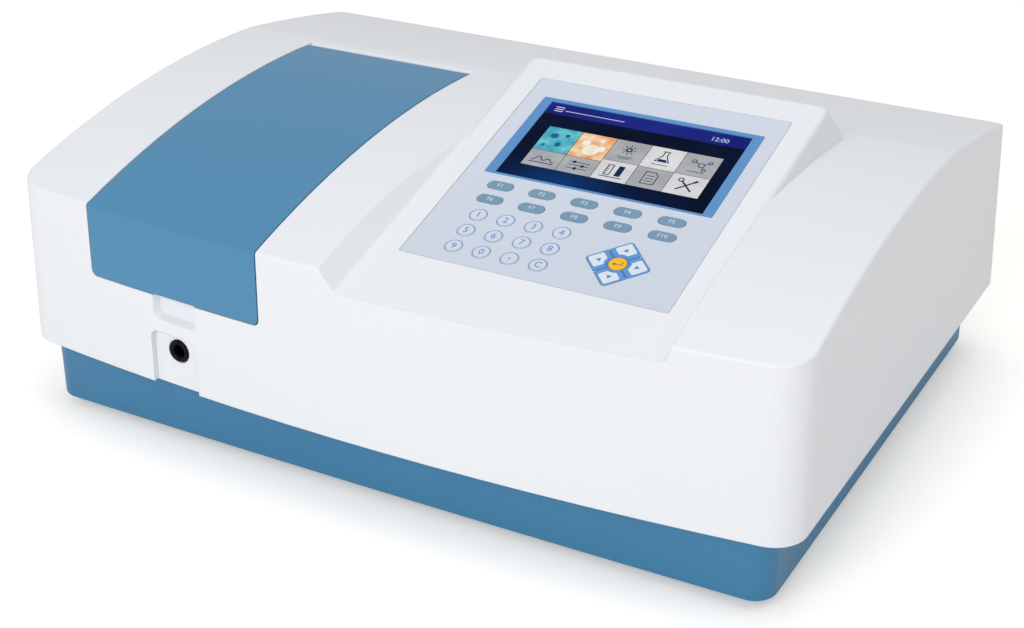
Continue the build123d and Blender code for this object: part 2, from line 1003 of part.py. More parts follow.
# Blue lid: a thin skin that carries on the cover's form, with a hinge barrel behind
hinge_x = (lid_x - hinge_offset, lid_x + hinge_offset)
axis_plane = Plane(origin=(lid_left, hinge_y, hinge_z), x_dir=(0, 1, 0), z_dir=(1, 0, 0))
with BuildPart() as compartment_lid:
    add(lid_zone(0))
    add(skin.part, mode=Mode.INTERSECT)
    add(plain_form(lid_wall), mode=Mode.SUBTRACT)
    add(
        upright_box(
            lid_left - 1, lid_right + 1, hinge_y, hinge_y + 2 * overshoot, block_low_z, block_high_z
        ),
        mode=Mode.SUBTRACT,
    )
    with BuildSketch(axis_plane):
        Circle(barrel_radius)
    extrude(amount=lid_right - lid_left)
    with BuildSketch(axis_plane):
        Circle(hinge_pin_diameter / 2 + pin_clearance)
    extrude(amount=lid_right - lid_left, mode=Mode.SUBTRACT)
    for x in hinge_x:
        add(
            upright_box(
                x - ear_thickness / 2 - ear_gap,
                x + ear_thickness / 2 + ear_gap,
                hinge_y - ear_radius - slip,
                hinge_y + 2 * overshoot,
                block_low_z,
                hinge_z + ear_radius + slip,
            ),
            mode=Mode.SUBTRACT,
        )
save(compartment_lid.part, "compartment_lid")

# Black light-tight panel fixed under the lid, with a raised rim that drops into the mouth
with BuildPart() as liner_hollow:
    add(
        upright_box(
            mouth_left + liner_gap + lid_wall,
            mouth_right - liner_gap - lid_wall,
            mouth_front_y + liner_gap + lid_wall,
            mouth_rear_y - liner_gap - lid_wall,
            block_low_z,
            block_high_z,
            liner_corner / 2,
        )
    )
    add(plain_form(lid_wall + liner_plate), mode=Mode.INTERSECT)

with BuildPart() as lid_liner:
    add(
        upright_box(
            mouth_left + liner_gap,
            mouth_right - liner_gap,
            mouth_front_y + liner_gap,
            mouth_rear_y - liner_gap,
            block_low_z,
            block_high_z,
            liner_corner,
        )
    )
    add(plain_form(lid_wall), mode=Mode.INTERSECT)
    add(liner_hollow.part, mode=Mode.SUBTRACT)
    add(plain_form(lid_wall + liner_rim), mode=Mode.SUBTRACT)
save(lid_liner.part, "lid_liner")

# Foam seal on the step round the mouth
with BuildPart() as lid_seal:
    add(
        upright_box(
            mouth_left - seal_width,
            mouth_right + seal_width,
            mouth_front_y - seal_width,
            mouth_rear_y + seal_width,
            block_low_z,
            block_high_z,
            mouth_corner,
        )
    )
    add(plain_form(lid_wall + slip), mode=Mode.INTERSECT)
    add(plain_form(well_depth - slip), mode=Mode.SUBTRACT)
    add(
        upright_box(
            mouth_left,
            mouth_right,
            mouth_front_y,
            mouth_rear_y,
            block_low_z - overshoot,
            block_high_z + overshoot,
            mouth_corner,
        ),
        mode=Mode.SUBTRACT,
    )
save(lid_seal.part, "lid_seal")

# Hinge: two ears on feet in the pocket, each with a pin pressed through it
with BuildPart() as hinge_brackets:
    for x in hinge_x:
        with BuildSketch(Plane.YZ.offset(x - ear_thickness / 2)):
            with BuildLine():
                Polyline(
                    (hinge_y - ear_radius, hinge_z),
                    (hinge_y - ear_radius, hinge_trough_floor_z),
                    (hinge_y + ear_radius, hinge_trough_floor_z),
                    (hinge_y + ear_radius, hinge_z),
                )
                ThreePointArc(
                    (hinge_y + ear_radius, hinge_z),
                    (hinge_y, hinge_z + ear_radius),
                    (hinge_y - ear_radius, hinge_z),
                )
            make_face()
            with Locations((hinge_y, hinge_z)):
                Circle(hinge_pin_diameter / 2, mode=Mode.SUBTRACT)
        extrude(amount=ear_thickness)
        with BuildSketch(Plane.XY.offset(hinge_trough_floor_z)):
            with Locations((x, hinge_y - hinge_foot_shift)):
                RectangleRounded(hinge_foot_length, hinge_foot_depth, hinge_foot_plate)
                with GridLocations(hinge_foot_holes, 0, 2, 1):
                    Circle(hinge_foot_hole / 2, mode=Mode.SUBTRACT)
        extrude(amount=hinge_foot_plate)
save(hinge_brackets.part, "hinge_brackets")

with BuildPart() as lid_hinge_pins:
    for x in hinge_x:
        with BuildSketch(Plane.YZ.offset(x - hinge_pin_length / 2)):
            with Locations((hinge_y, hinge_z)):
                Circle(hinge_pin_diameter / 2)
        extrude(amount=hinge_pin_length)
save(lid_hinge_pins.part, "lid_hinge_pins")

# Sample compartment: an open black tub under the mouth, with a window seat on each side
beam_plane_left = Plane(origin=(mouth_left, beam_y, beam_z), x_dir=(0, 1, 0), z_dir=(1, 0, 0))
beam_plane_right = Plane(origin=(mouth_right, beam_y, beam_z), x_dir=(0, 1, 0), z_dir=(1, 0, 0))
with BuildPart() as sample_compartment:
    add(
        upright_box(
            mouth_left - tub_wall,
            mouth_right + tub_wall,
            mouth_front_y - tub_wall,
            mouth_rear_y + tub_wall,
            tub_floor_z,
            block_high_z,
            mouth_corner,
        )
    )
    add(plain_form(well_depth + wall + tub_gap), mode=Mode.INTERSECT)
    for side, plane in ((-1, beam_plane_left), (1, beam_plane_right)):
        with BuildSketch(plane.offset(side * tub_wall / 2)):
            Circle(window_seat / 2)
        extrude(amount=side * (tub_wall / 2 + window_thickness))
    add(
        upright_box(
            mouth_left,
            mouth_right,
            mouth_front_y,
            mouth_rear_y,
            tub_floor_z + tub_wall,
            block_high_z + overshoot,
            tub_corner,
        ),
        mode=Mode.SUBTRACT,
    )
    for side, plane in ((-1, beam_plane_left), (1, beam_plane_right)):
        with BuildSketch(plane.offset(side * tub_wall)):
            Circle(window_diameter / 2 + running_clearance)
        extrude(amount=side * 2 * window_thickness, mode=Mode.SUBTRACT)
        with BuildSketch(plane.offset(-side)):
            Circle(window_diameter / 2 - window_lip)
        extrude(amount=side * overshoot, mode=Mode.SUBTRACT)
    with BuildSketch(Plane.XZ.offset(-mouth_rear_y - overshoot)):
        with Locations(
            (lid_x - rail_spacing / 2, rail_z),
            (lid_x + rail_spacing / 2, rail_z),
        ):
            Circle(rail_diameter / 2 + rail_fit)
    extrude(amount=mouth_rear_y - mouth_front_y + 2 * overshoot, mode=Mode.SUBTRACT)
    with BuildSketch(Plane.XZ.offset(-mouth_front_y - overshoot)):
        with Locations((lid_x, bush_z)):
            Circle(bush_bore / 2 + rod_play)
    extrude(amount=2 * overshoot, mode=Mode.SUBTRACT)
save(sample_compartment.part, "sample_compartment")

with BuildPart() as beam_windows:
    for side, plane in ((-1, beam_plane_left), (1, beam_plane_right)):
        with BuildSketch(plane.offset(side * tub_wall)):
            Circle(window_diameter / 2)
        extrude(amount=side * window_thickness)
save(beam_windows.part, "beam_windows")

with BuildPart() as carriage_rails:
    with BuildSketch(Plane.XZ.offset(-mouth_rear_y - tub_wall)):
        with Locations(
            (lid_x - rail_spacing / 2, rail_z),
            (lid_x + rail_spacing / 2, rail_z),
        ):
            Circle(rail_diameter / 2)
    extrude(amount=mouth_rear_y - mouth_front_y + 2 * tub_wall)
    chamfer(carriage_rails.edges().filter_by(GeomType.CIRCLE), rail_chamfer)
save(carriage_rails.part, "carriage_rails")

# Cell carriage: a sliding base with a row of square sockets, each with a slot for the beam
holder_top_z = carriage_base_z + socket_depth + holder_inset
with BuildPart() as cell_carriage:
    add(
        upright_box(
            lid_x - carriage_width / 2,
            lid_x + carriage_width / 2,
            beam_y - carriage_length / 2,
            beam_y + carriage_length / 2,
            carriage_low_z,
            carriage_base_z,
            carriage_corner,
        )
    )
    add(
        upright_box(
            lid_x - holder_width / 2,
            lid_x + holder_width / 2,
            beam_y - carriage_length / 2 + holder_inset,
            beam_y + carriage_length / 2 - holder_inset,
            carriage_base_z,
            holder_top_z,
        )
    )
    with BuildSketch(Plane.XY.offset(holder_top_z)):
        with Locations((lid_x, beam_y)):
            with GridLocations(0, socket_pitch, 1, socket_count):
                Rectangle(cuvette_socket, cuvette_socket)
    extrude(amount=-socket_depth, mode=Mode.SUBTRACT)
    with BuildSketch(Plane.YZ.offset(lid_x - holder_width)):
        with Locations((beam_y, beam_z + 1)):
            with GridLocations(socket_pitch, 0, socket_count, 1):
                SlotOverall(beam_slot_height, beam_slot_width, rotation=90)
    extrude(amount=2 * holder_width, mode=Mode.SUBTRACT)
    with BuildSketch(Plane.XZ.offset(-beam_y - carriage_length)):
        with Locations(
            (lid_x - rail_spacing / 2, rail_z),
            (lid_x + rail_spacing / 2, rail_z),
        ):
            Circle(rail_diameter / 2 + running_clearance)
    extrude(amount=2 * carriage_length, mode=Mode.SUBTRACT)
    with BuildSketch(Plane.XZ.offset(-beam_y + carriage_length / 2)):
        with Locations((lid_x, bush_z)):
            Circle(rod_hole_diameter / 2)
    extrude(amount=-rod_hole_depth, mode=Mode.SUBTRACT)
save(cell_carriage.part, "cell_carriage")

# Black rod bush in the front recess: a flanged ring turned about the bore
bush_front_y = bush_seat_y - bush_seat_depth - bush_proud
with BuildPart() as rod_bush:
    with BuildSketch(Plane.XY.offset(bush_z)):
        with BuildLine():
            Polyline(
                (lid_x + bush_bore / 2, bush_seat_y + wall),
                (lid_x + bush_bore / 2, bush_front_y + bush_proud),
                (lid_x + bush_bore / 2 + bush_proud, bush_front_y),
                (lid_x + bush_diameter / 2 - bush_edge, bush_front_y),
                (lid_x + bush_diameter / 2, bush_front_y + bush_edge),
                (lid_x + bush_diameter / 2, bush_seat_y),
                (lid_x + bush_shank / 2, bush_seat_y),
                (lid_x + bush_shank / 2, bush_seat_y + wall),
                close=True,
            )
        make_face()
    revolve(axis=Axis((lid_x, 0, bush_z), (0, 1, 0)))
save(rod_bush.part, "rod_bush")

# Display: panel in its pocket with a printed frame over it, flush in the overlay
with BuildPart() as display_module:
    add(
        deck_box(
            bezel_left + 2 * module_gap,
            bezel_right - 2 * module_gap,
            bezel_low + 2 * module_gap,
            bezel_high - 2 * module_gap,
            module_top,
            pocket_floor,
        )
    )
save(display_module.part, "display_module")

overlay_top = -(overlay_recess - overlay_thickness)
with BuildPart() as display_bezel:
    add(
        deck_box(
            bezel_left,
            bezel_right,
            bezel_low,
            bezel_high,
            overlay_top,
            -overlay_recess,
            bezel_corner,
        )
    )
    add(
        deck_box(screen_left, screen_right, screen_low, screen_high, 0, -2 * overlay_recess),
        mode=Mode.SUBTRACT,
    )
save(display_bezel.part, "display_bezel")

# Keypad overlay: a printed sheet in the recess, with a hole for each key
with BuildPart() as keypad_overlay:
    add(
        deck_box(
            overlay_left + overlay_gap,
            overlay_right - overlay_gap,
            overlay_low + overlay_gap,
            overlay_high - overlay_gap,
            overlay_top,
            -overlay_recess,
            overlay_corner - overlay_gap,
        )
    )
    add(
        deck_box(
            bezel_left - bezel_gap,
            bezel_right + bezel_gap,
            bezel_low - bezel_gap,
            bezel_high + bezel_gap,
            0,
            -2 * overlay_recess,
            bezel_corner + bezel_gap,
        ),
        mode=Mode.SUBTRACT,
    )
    for name, kind, place in keys:
        add(key_solid(kind, place, key_clearance, -2 * overlay_recess, 0), mode=Mode.SUBTRACT)
save(keypad_overlay.part, "keypad_overlay")

# Switch board under the keys, with a snap dome for each
with BuildPart() as keypad_board:
    add(
        deck_box(
            bezel_left - board_margin,
            bezel_right + board_margin,
            board_low - board_margin,
            board_high + board_margin,
            board_top,
            board_top - board_thickness,
        )
    )
    with BuildSketch(deck_plane.offset(board_top)):
        with Locations(*[key_middle(kind, place) for name, kind, place in keys]):
            Circle(dome_diameter / 2)
    extrude(amount=dome_height)
save(keypad_board.part, "keypad_board")

# Keys: each stands a little proud of the overlay and moves down on to its dome
for name, kind, place in keys:
    with BuildPart() as key:
        add(key_solid(kind, place, 0, key_bottom, overlay_top + key_proud))
        chamfer(key.faces().sort_by(deck_axis)[-1].edges(), key_edge)
    save(key.part, name)

# Blue base pan: a tray with feet holes, vents, tabs for the cover and posts for the inside
plate_posts = [
    (x, y)
    for x in (plate_left + post_inset, plate_right - post_inset)
    for y in (plate_front_y + post_inset, plate_rear_y - post_inset)
]
tub_posts = [
    (x, y)
    for x in (mouth_left + post_inset, mouth_right - post_inset)
    for y in (mouth_front_y + post_inset, mouth_rear_y - post_inset)
]
board_posts = [
    (x, main_board_front_y + board_thickness / 2)
    for x in (main_board_left + board_post_inset, lid_x + 40, main_board_right - board_post_inset)
]
feet_places = [(x, y) for x in (-foot_x, foot_x) for y in (foot_front_y, foot_rear_y)]
with BuildPart() as base_pan:
    with BuildSketch(Plane.XY.offset(foot_height)):
        add(pan_outline(0, foot_height))
    extrude(amount=pan_top_z - foot_height)
    fillet(base_pan.faces().sort_by(Axis.Z)[0].edges(), pan_edge)
    with BuildSketch(Plane.XY.offset(floor_z)):
        add(pan_outline(-pan_wall, floor_z))
    extrude(amount=pan_top_z, mode=Mode.SUBTRACT)
    for side in (-1, 1):
        for y in tab_rows_y:
            inner = half_width - pan_side_inset - pan_wall / 2
            outer = half_width - wall - 1.5
            add(
                upright_box(
                    min(side * inner, side * outer),
                    max(side * inner, side * outer),
                    y - tab_length / 2,
                    y + tab_length / 2,
                    lip_top_z,
                    pan_top_z,
                )
            )
            with BuildSketch(Plane.XY.offset(lip_top_z)):
                with Locations((side * lug_x, y)):
                    Circle(screw_diameter / 2)
            extrude(amount=pan_top_z, mode=Mode.SUBTRACT)
    with BuildSketch(Plane.XY.offset(floor_z - 1)):
        with Locations(*plate_posts):
            Circle(plate_post_diameter / 2)
    extrude(amount=plate_z - floor_z + 1)
    with BuildSketch(Plane.XY.offset(floor_z - 1)):
        with Locations(*tub_posts):
            Circle(tub_post_diameter / 2)
    extrude(amount=tub_floor_z - floor_z + 1)
    with BuildSketch(Plane.XY.offset(floor_z - 1)):
        with Locations(*board_posts):
            Rectangle(board_post_size, board_post_size)
    extrude(amount=main_board_low_z - floor_z + 1)
    with BuildSketch(Plane.XY.offset(foot_height - 1)):
        with Locations(*feet_places):
            Circle(foot_spigot / 2 + 0.2)
    extrude(amount=pan_floor + 2, mode=Mode.SUBTRACT)
    with BuildSketch(Plane.XY.offset(foot_height - 1)):
        with Locations((lamp_left + 44, slit_y), (mono_left + 120, supply_front_y + 34)):
            with GridLocations(vent_pitch, 0, vent_count, 1):
                SlotOverall(vent_length, vent_width, rotation=90)
    extrude(amount=pan_floor + 2, mode=Mode.SUBTRACT)
save(base_pan.part, "base_pan")

# Rubber feet with spigots up through the pan
with BuildPart() as feet:
    with BuildSketch(Plane.XY):
        with Locations(*feet_places):
            Circle(foot_diameter / 2)
    extrude(amount=foot_height, taper=foot_taper)
    with BuildSketch(Plane.XY.offset(foot_height)):
        with Locations(*feet_places):
            Circle(foot_spigot / 2)
    extrude(amount=pan_floor + 2)
save(feet.part, "feet")


def turned_screw():
    """Pan-head screw standing head down with its head's seat at the origin."""
    with BuildPart() as screw:
        with BuildSketch(Plane.XZ):
            with BuildLine():
                Line((0, -screw_head_height), (screw_head_diameter / 4, -screw_head_height))
                ThreePointArc(
                    (screw_head_diameter / 4, -screw_head_height),
                    (0.43 * screw_head_diameter, -0.75 * screw_head_height),
                    (screw_head_diameter / 2, 0),
                )
                Polyline(
                    (screw_head_diameter / 2, 0),
                    (screw_diameter / 2 - 0.02, 0),
                    (screw_diameter / 2 - 0.02, screw_length - 1),
                    (screw_diameter / 2 - 1, screw_length),
                    (0, screw_length),
                    (0, -screw_head_height),
                )
            make_face()
        revolve(axis=Axis.Z)
        with BuildSketch(Plane.XY.offset(-screw_head_height)):
            Rectangle(0.5 * screw_head_diameter, screw_slot)
            Rectangle(screw_slot, 0.5 * screw_head_diameter)
        extrude(amount=screw_slot_depth, mode=Mode.SUBTRACT)
    return screw.part


# Screws: six up through the cover's lip into the pan's tabs, four into the rear panel
screw_shape = turned_screw()
with BuildPart() as screws:
    for side in (-1, 1):
        for y in tab_rows_y:
            add(Location((side * lug_x, y, cover_bottom_z)) * screw_shape)
    for x in panel_screw_x:
        for rise in panel_screw_rise:
            seat = Plane(
                origin=rear_plane.from_local_coords((-x, rise, 0)),
                x_dir=(1, 0, 0),
                z_dir=-rear_plane.z_dir,
            )
            add(seat.location * screw_shape)
save(screws.part, "screws")

# Rear panel: a steel plate with a slotted fan grille and cut-outs
with BuildPart() as rear_panel:
    add(
        rear_box(
            panel_x,
            panel_rise,
            panel_right - panel_left - slip,
            panel_high - panel_low - slip,
            0,
            panel_thickness,
            panel_corner,
        )
    )
    for x in panel_screw_x:
        for rise in panel_screw_rise:
            add(rear_cylinder(x, rise, screw_hole, rear_cut_out, rear_cut_out), mode=Mode.SUBTRACT)
    for x, opening in ((inlet_x, inlet_width), (switch_x, switch_width)):
        add(
            rear_box(x, inlet_rise, opening + slip, inlet_height + slip, rear_cut_out, rear_cut_out),
            mode=Mode.SUBTRACT,
        )
    for x in socket_x:
        add(
            rear_box(
                x,
                socket_rise,
                data_socket_width + slip,
                data_socket_height + slip,
                rear_cut_out,
                rear_cut_out,
                data_socket_corner,
            ),
            mode=Mode.SUBTRACT,
        )
    with BuildSketch(rear_plane.offset(-2 * panel_thickness)):
        with Locations((-fan_x, fan_rise)):
            for index in range(grille_rings):
                radius = grille_radius - index * grille_pitch
                Circle(radius)
                Circle(radius - grille_slot, mode=Mode.SUBTRACT)
            for angle in (45, -45):
                Rectangle(fan_bore + 4, grille_spoke, rotation=angle, mode=Mode.SUBTRACT)
    extrude(amount=4 * panel_thickness, mode=Mode.SUBTRACT)
save(rear_panel.part, "rear_panel")

# Mains inlet and switch body behind one flange
rocker_centre = rear_plane.from_local_coords((-switch_x, inlet_rise, rocker_pivot))
with BuildPart() as mains_inlet:
    add(
        rear_box(
            flange_x,
            inlet_rise,
            flange_width,
            inlet_height + 8,
            flange_thickness,
            0,
            flange_corner,
        )
    )
    add(rear_box(inlet_x, inlet_rise, inlet_width, inlet_height, 0.5, inlet_body_depth))
    add(rear_box(switch_x, inlet_rise, switch_width, inlet_height, 0.5, inlet_body_depth - 6))
    with BuildSketch(rear_plane.offset(flange_thickness)) as cavity_face:
        with Locations((-inlet_x, inlet_rise)):
            Rectangle(inlet_width - 4.6, inlet_height - 4.4)
        chamfer(cavity_face.vertices().group_by(Axis.Z)[0], inlet_corner_cut)
    extrude(amount=-inlet_cavity_depth, mode=Mode.SUBTRACT)
    with BuildSketch(rear_plane.offset(flange_thickness - inlet_cavity_depth - 0.5)):
        for reach, rise in ((-pin_reach, -pin_offset), (pin_reach, -pin_offset), (0, pin_offset)):
            with Locations((-inlet_x + reach, inlet_rise + rise)):
                Rectangle(pin_width, pin_height)
    extrude(amount=inlet_cavity_depth - 2)
    add(
        rear_box(
            switch_x,
            inlet_rise,
            rocker_width + 2 * slip,
            rocker_height + 2 * slip,
            5,
            inlet_body_depth - 8,
        ),
        mode=Mode.SUBTRACT,
    )
    with BuildSketch(Plane.YZ.offset(switch_x - switch_width / 2 - 1)):
        with Locations((rocker_centre.Y, rocker_centre.Z)):
            Circle(rocker_pin / 2 + running_clearance)
    extrude(amount=switch_width + 2, mode=Mode.SUBTRACT)
save(mains_inlet.part, "mains_inlet")

# Power rocker, resting with its lower half in, on two stub pins
rocker_tilt = lean - math.radians(rocker_angle)
rocker_plane = Plane(
    origin=rocker_centre,
    x_dir=(0, -math.sin(rocker_tilt), math.cos(rocker_tilt)),
    z_dir=(-1, 0, 0),
)
half_rocker = rocker_height / 2 - rocker_end_gap
with BuildPart() as power_rocker:
    with BuildSketch(rocker_plane.offset(-rocker_width / 2)):
        with BuildLine():
            Polyline(
                (-half_rocker, 0),
                (-half_rocker, rocker_end),
                (0, rocker_dip),
                (half_rocker, rocker_end),
                (half_rocker, 0),
            )
            ThreePointArc((half_rocker, 0), (0, -rocker_belly), (-half_rocker, 0))
        make_face()
    extrude(amount=rocker_width)
    with BuildSketch(rocker_plane.offset(-switch_width / 2)):
        Circle(rocker_pin / 2)
    extrude(amount=switch_width)
save(power_rocker.part, "power_rocker")

# Cooling fan: a square frame behind the rear wall and a rotor on its spindle
fan_face = -wall
with BuildPart() as fan_frame:
    add(rear_box(fan_x, fan_rise, fan_size, fan_size, fan_face, fan_depth - fan_face, fan_corner))
    add(
        rear_cylinder(fan_x, fan_rise, fan_bore, fan_face + 1, fan_depth - fan_face + 1),
        mode=Mode.SUBTRACT,
    )
    with BuildSketch(rear_plane.offset(fan_face - fan_depth)):
        with Locations((-fan_x, fan_rise)):
            Circle(fan_hub / 2)
            Rectangle(fan_bore + 2, fan_strut)
            Rectangle(fan_strut, fan_bore + 2)
            Circle(spindle / 2 + running_clearance, mode=Mode.SUBTRACT)
    extrude(amount=fan_strut)
    with BuildSketch(rear_plane.offset(fan_face)):
        with Locations((-fan_x, fan_rise)):
            with GridLocations(fan_hole_pitch, fan_hole_pitch, 2, 2):
                Circle(fan_hole / 2)
    extrude(amount=-fan_depth, mode=Mode.SUBTRACT)
save(fan_frame.part, "fan_frame")

hub_front = fan_face - 2.0
hub_back = fan_face - fan_depth + 3.6
fan_plane = Plane(
    origin=rear_plane.from_local_coords((-fan_x, fan_rise, hub_back)),
    x_dir=(-1, 0, 0),
    z_dir=rear_plane.z_dir,
)
fan_axis = Axis(fan_plane.origin, fan_plane.z_dir)
with BuildPart() as fan_rotor:
    with BuildSketch(fan_plane):
        Circle(fan_hub / 2)
    extrude(amount=hub_front - hub_back)
    chamfer(fan_rotor.edges().filter_by(GeomType.CIRCLE).sort_by(fan_axis)[-1], 1.5)
    with BuildSketch(fan_plane.offset(-3.4)):
        Circle(spindle / 2)
    extrude(amount=4)
    for index in range(fan_blades):
        turn = 2 * math.pi * index / fan_blades
        radial = fan_plane.x_dir * math.cos(turn) + fan_plane.y_dir * math.sin(turn)
        root = Plane(
            origin=fan_plane.origin
            + fan_plane.z_dir * ((hub_front - hub_back) / 2)
            + radial * (fan_hub / 2 - 1),
            x_dir=fan_plane.z_dir.cross(radial),
            z_dir=radial,
        )
        with BuildSketch(root):
            Rectangle(blade_root, 1.2, rotation=blade_root_angle)
        with BuildSketch(root.offset(fan_bore / 2 - 2.4 - fan_hub / 2 + 1)):
            Rectangle(blade_tip, 1.0, rotation=blade_tip_angle)
        loft(ruled=True)
save(fan_rotor.part, "fan_rotor")

# Optical bench plate with lightening pockets underneath
plate_top = plate_z + plate_thickness
with BuildPart() as optical_bench:
    add(
        upright_box(
            plate_left,
            plate_right,
            plate_front_y,
            plate_rear_y,
            plate_z,
            plate_top,
            plate_corner,
        )
    )
    with BuildSketch(Plane.XY.offset(plate_z)):
        with Locations(((plate_left + plate_right) / 2, (plate_front_y + plate_rear_y) / 2)):
            with GridLocations(pocket_pitch, pocket_pitch, pocket_count, pocket_count):
                Rectangle(pocket_size, pocket_size)
        with Locations(*plate_posts):
            Circle(post_inset, mode=Mode.SUBTRACT)
    extrude(amount=plate_thickness - pocket_floor_left, mode=Mode.SUBTRACT)
    with BuildSketch(Plane.XY.offset(plate_top - 1)):
        with Locations((mirror_x, slit_y)):
            Circle(mirror_boss / 2)
    extrude(amount=mirror_boss_height + 1)
    with BuildSketch(Plane.XY.offset(plate_top + mirror_boss_height)):
        with Locations((mirror_x, slit_y)):
            Circle(shaft_diameter / 2 + running_clearance)
    extrude(amount=-mirror_boss_height, mode=Mode.SUBTRACT)
save(optical_bench.part, "optical_bench")

# Monochromator box with its slits and the boss that carries the grating
mono_floor = plate_top + mono_wall
with BuildPart() as monochromator:
    add(
        upright_box(
            mono_left, mono_right, mono_front_y, mono_rear_y, plate_top, plate_top + mono_height, 4
        )
    )
    add(
        upright_box(
            mono_left + mono_wall,
            mono_right - mono_wall,
            mono_front_y + mono_wall,
            mono_rear_y - mono_wall,
            mono_floor,
            plate_top + mono_height + 1,
            2,
        ),
        mode=Mode.SUBTRACT,
    )
    with BuildSketch(Plane.XY.offset(mono_floor - 1)):
        with Locations((grating_x, grating_y)):
            Circle(grating_boss / 2)
    extrude(amount=grating_boss_height + 1)
    with BuildSketch(Plane.XY.offset(mono_floor + grating_boss_height)):
        with Locations((grating_x, grating_y)):
            Circle(shaft_diameter / 2 + running_clearance)
    extrude(amount=-grating_boss_height - 2, mode=Mode.SUBTRACT)
    with BuildSketch(Plane.YZ.offset(mono_left - 1)):
        with Locations((beam_y, beam_z)):
            Rectangle(slit_width, slit_height)
    extrude(amount=mono_wall + 2, mode=Mode.SUBTRACT)
    with BuildSketch(Plane.YZ.offset(mono_right - mono_wall - 1)):
        with Locations((slit_y, beam_z)):
            Rectangle(slit_width, slit_height)
    extrude(amount=mono_wall + 2, mode=Mode.SUBTRACT)
    with BuildSketch(Plane.YZ.offset(mono_right - 1)):
        with Locations((slit_y + filter_circle, beam_z)):
            Circle(spindle)
    extrude(amount=3)
    with BuildSketch(Plane.YZ.offset(mono_right - 1)):
        with Locations((slit_y + filter_circle, beam_z)):
            Circle(spindle / 2)
    extrude(amount=10)
save(monochromator.part, "monochromator")

# Grating on its turning stage
stage_low = mono_floor - 1
stage_table = mono_floor + grating_boss_height + 1
with BuildPart() as grating_stage:
    with BuildSketch(Plane.XY.offset(stage_low)):
        with Locations((grating_x, grating_y)):
            Circle(shaft_diameter / 2)
    extrude(amount=stage_table - stage_low + 1)
    with BuildSketch(Plane.XY.offset(stage_table)):
        with Locations((grating_x, grating_y)):
            Circle(stage_diameter / 2)
    extrude(amount=stage_thickness)
    with BuildSketch(Plane.XY.offset(stage_table + stage_thickness)):
        with Locations((grating_x, grating_y)):
            Rectangle(grating_width, grating_thickness, rotation=grating_rest_angle)
    extrude(amount=grating_height)
save(grating_stage.part, "grating_stage")

# Filter wheel on a stub beside the entrance slit
with BuildPart() as filter_wheel:
    with BuildSketch(Plane.YZ.offset(mono_right + 2.4)):
        with Locations((slit_y + filter_circle, beam_z)):
            Circle(wheel_diameter / 2)
            Circle(spindle / 2 + running_clearance, mode=Mode.SUBTRACT)
            with PolarLocations(filter_circle, filter_count):
                Circle(filter_diameter / 2, mode=Mode.SUBTRACT)
    extrude(amount=wheel_thickness)
save(filter_wheel.part, "filter_wheel")

# Lamp house with its lamps
lamp_floor = plate_top + lamp_wall
lamp_middle_x = (lamp_left + lamp_right) / 2
lamps_y = (lamp_front_y + 40, lamp_rear_y - 45)
with BuildPart() as lamp_house:
    add(
        upright_box(
            lamp_left,
            lamp_right,
            lamp_front_y,
            lamp_rear_y,
            plate_top,
            plate_top + lamp_height,
            lamp_wall,
        )
    )
    add(
        upright_box(
            lamp_left - overshoot,
            lamp_right - lamp_wall,
            lamp_front_y + lamp_wall,
            lamp_rear_y - lamp_wall,
            lamp_floor,
            plate_top + lamp_height - lamp_wall,
        ),
        mode=Mode.SUBTRACT,
    )
    with BuildSketch(Plane.XY.offset(plate_top + lamp_height - lamp_wall - 1)):
        with Locations((lamp_middle_x, (lamp_front_y + lamp_rear_y) / 2)):
            with GridLocations(0, lamp_slot_pitch, 1, lamp_slot_count):
                SlotOverall(lamp_slot_length, lamp_slot_width)
    extrude(amount=lamp_wall + 2, mode=Mode.SUBTRACT)
save(lamp_house.part, "lamp_house")

with BuildPart() as lamps:
    for y, diameter, height in (
        (lamps_y[0], tungsten_diameter, tungsten_height),
        (lamps_y[1], deuterium_diameter, deuterium_height),
    ):
        with BuildSketch(Plane.XY.offset(lamp_floor)):
            with Locations((lamp_middle_x, y)):
                Circle(diameter / 2 + lamp_base_margin)
        extrude(amount=lamp_base_height)
        with BuildSketch(Plane.XY.offset(lamp_floor + lamp_base_height)):
            with Locations((lamp_middle_x, y)):
                Circle(diameter / 2)
        extrude(amount=height)
        tip = lamps.faces().filter_by(Plane.XY).group_by(Axis.Z)[-1]
        if diameter == deuterium_diameter:
            fillet(tip.edges(), diameter / 4)
save(lamps.part, "lamps")

# Source mirror that swings from one lamp to the other
with BuildPart() as source_mirror:
    with BuildSketch(Plane.XY.offset(plate_top + 1)):
        with Locations((mirror_x, slit_y)):
            Circle(shaft_diameter / 2)
    extrude(amount=beam_z - plate_top - mirror_height / 2 + 1)
    with BuildSketch(Plane.XY.offset(beam_z - mirror_height / 2)):
        with Locations((mirror_x, slit_y)):
            Rectangle(mirror_width, mirror_thickness, rotation=mirror_rest_angle)
    extrude(amount=mirror_height)
save(source_mirror.part, "source_mirror")

